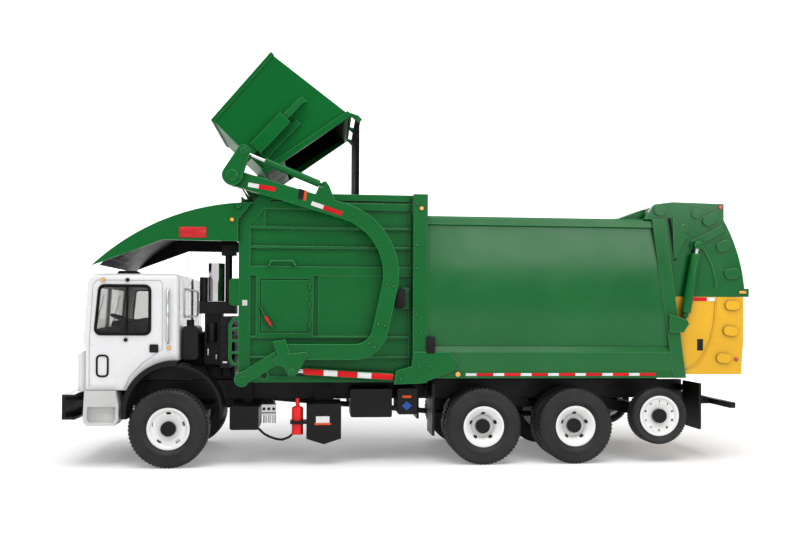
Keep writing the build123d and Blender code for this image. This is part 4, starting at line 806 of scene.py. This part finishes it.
RIM_R = 8.37
BEAD = 0.36                        # half width at the rim, as a share of the tyre's width
BLOCKS, NOTCH = 60, 0.32           # tread blocks round a tyre, and how deep the notches between them are
# share of a block's pitch, and whether it lies in the notch
BLOCK_STEPS = ((0.0, False), (0.58, False), (0.62, True), (0.96, True))
FRONT_MIDDLE, OUTER_MIDDLE, INNER_MIDDLE = 31.5, 32.3, 23.7
# axle, station and height of its middle, radius and width of its tyres, their middles
AXLES = (("front", 40.9, 15.5, 15.5, 9.0, (FRONT_MIDDLE,)),
         ("drive_one", 166.6, 15.5, 15.5, 7.4, (OUTER_MIDDLE, INNER_MIDDLE)),
         ("drive_two", 204.9, 15.5, 15.5, 7.4, (OUTER_MIDDLE, INNER_MIDDLE)),
         ("tag", 240.6, 19.5, 11.8, 7.4, (OUTER_MIDDLE,)))


def tyre_section(radius, width):
    """Radius and width across one tyre, and whether the point falls into the tread's notches."""
    bead, half = BEAD * width, width / 2
    side = [(RIM_R, bead), (RIM_R + 0.5, bead + 0.25), (RIM_R + 1.6, half - 0.16), (RIM_R + 1.9, half - 0.02),
            (RIM_R + 2.3, half - 0.02), (RIM_R + 2.6, half - 0.10), ((RIM_R + radius) / 2 + 0.8, half),
            (radius - 1.5, half - 0.12)]
    shoulder = [(radius - 1.2, half - 0.18), (radius - 0.4, 0.44 * width), (radius, 0.39 * width)]
    ribs = [(radius, 0.22 * width), (radius - 0.5, 0.20 * width), (radius - 0.5, 0.15 * width),
            (radius, 0.13 * width), (radius, 0.03 * width), (radius - 0.45, 0.015 * width)]
    section = [(r, y, points is shoulder) for points in (side, shoulder, ribs) for r, y in points]
    return section + [(r, -y, notched) for r, y, notched in reversed(section)]


def wheels():
    """Tyres with ribbed sidewalls and notched shoulders in place of the plain ones."""
    for name, x, z, radius, width, middles in AXLES:
        section = tyre_section(radius, width)
        tread = Shape(twin=False)
        for middle in (sign * m for m in middles for sign in (-1, 1)):
            rings = []
            for k in range(BLOCKS):
                for part, sunk in BLOCK_STEPS:
                    a = 2 * math.pi * (k + part) / BLOCKS
                    ring = []
                    for r, y, notched in section:
                        r -= NOTCH if notched and sunk else 0.0
                        ring.append(at(x + r * math.cos(a), middle + y, z + r * math.sin(a)))
                    rings.append(ring)
            tread.skin(rings)
        obj = tread.piece(f"{name}_tread", f"{name}_wheels", "tyre_rubber", flat=TREAD_ANGLE)
        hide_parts(f"{name}_tyres")


cab_trim()
straight_tapes()
lift_cylinder_tapes()
canopy_painted_shade()
labels()
hopper_trim()
plates()
heads()
bin_painted_shade()
fittings()
tailgate_trim()
wheels()


# Studio, in metres

WHITE = (1, 1, 1, 1)
PAPER_COLOUR, PAPER_ROUGH = (0.9, 0.9, 0.9), 0.9
NEAR_GLOW, FAR_GLOW = 0.22, 1.0       # whiten the paper in the picture, not the light on the truck
NEAR, FAR = 0.19, 0.55                # distances from the truck's middle between which the glow grows
WORLD_LIGHT = 0.28
FLOOR_NEAR, FLOOR_FAR, PAPER_HALF, WALL_TOP = -2.0, 1.0, 2.5, 2.5
SWEEP_R, SWEEP_STEPS = 0.5, 12
AIM = (0.0, 0.0, 0.06)
# name, place, width, height, watts; the fill stands where the body's side mirrors it
LAMPS = (("top", (0.0, -0.35, 1.0), 0.9, 0.9, 8.5),
         ("key", (-0.8, -0.8, 0.9), 0.5, 0.5, 2.3),
         ("fill", (0.45, -1.0, 0.35), 0.64, 0.26, 2.7),
         ("back", (0.0, 0.9, 0.9), 0.9, 0.9, 3.0))


def spread_seen(tree, unseen, seen):
    """Node with one value for light on things, and another where the eye, metal or glass shows the studio."""
    path = add_node(tree, "ShaderNodeLightPath").outputs
    either = path["Is Camera Ray"]
    for ray in ("Is Glossy Ray", "Is Transmission Ray"):
        node = add_node(tree, "ShaderNodeMath", feeds={0: either, 1: path[ray]})
        node.operation = "MAXIMUM"
        either = node.outputs[0]
    return add_node(tree, "ShaderNodeMapRange", {"To Min": unseen, "To Max": seen}, {"Value": either})


def backdrop():
    """White paper: the floor, then a quarter round up to the back wall."""
    white = Surface("studio paper", PAPER_COLOUR, PAPER_ROUGH)
    white.set("Specular IOR Level", 0.0)
    white.set("Emission Color", WHITE)
    distance = white.add("ShaderNodeVectorMath", feeds={0: white.place})
    distance.operation = "LENGTH"
    growth = {"From Min": NEAR, "From Max": FAR, "To Min": NEAR_GLOW, "To Max": FAR_GLOW}
    grow = white.add("ShaderNodeMapRange", growth, {"Value": distance.outputs["Value"]})
    glow = spread_seen(white.tree, 0.0, 1.0)
    white.tree.links.new(grow.outputs["Result"], glow.inputs["To Max"])
    white.feed("Emission Strength", glow.outputs["Result"])

    rows = [(FLOOR_NEAR, 0.0), (FLOOR_FAR, 0.0)]
    for k in range(1, SWEEP_STEPS + 1):
        a = math.pi / 2 * k / SWEEP_STEPS
        rows.append((FLOOR_FAR + SWEEP_R * math.sin(a), SWEEP_R * (1 - math.cos(a))))
    rows.append((FLOOR_FAR + SWEEP_R, WALL_TOP))
    sheet = Shape(twin=False)
    sheet.skin([((-PAPER_HALF, y, z), (PAPER_HALF, y, z)) for y, z in rows], closed=False)
    paper = smooth_object("paper", sheet.mesh, white.material)


def lights():
    world = bpy.data.worlds.new("studio")
    world.use_nodes = True
    background = world.node_tree.nodes["Background"]
    background.inputs["Color"].default_value = WHITE
    strength = spread_seen(world.node_tree, WORLD_LIGHT, 1.0)
    world.node_tree.links.new(strength.outputs["Result"], background.inputs["Strength"])
    bpy.context.scene.world = world
    for name, place, wide, high, watts in LAMPS:
        data = bpy.data.lights.new(name, "AREA")
        data.shape = "RECTANGLE"
        data.size, data.size_y = wide, high
        data.energy = watts
        lamp = link_object(name, data)
        lamp.location = place
        lamp.rotation_euler = (Vector(AIM) - lamp.location).to_track_quat("-Z", "Y").to_euler()
    bpy.context.scene.view_settings.view_transform = "Standard"


def camera():
    data = bpy.data.cameras.new("camera")
    data.sensor_width = SENSOR_W
    data.lens = data.sensor_width * LENS_PX / IMAGE_W
    data.shift_y = HORIZON_DROP_PX / IMAGE_W
    data.clip_start = CLIP_START
    yaw = math.radians(YAW)
    ahead = Vector((math.sin(yaw), math.cos(yaw), 0))
    right = Vector((math.cos(yaw), -math.sin(yaw), 0))
    up = Vector((0, 0, 1))
    turn = Matrix((right, up, -ahead)).transposed().to_4x4()
    obj = link_object("camera", data)
    obj.matrix_world = Matrix.Translation(at(*EYE)) @ turn @ Matrix.Rotation(math.radians(ROLL), 4, "Z")
    bpy.context.scene.camera = obj


backdrop()
lights()
camera()
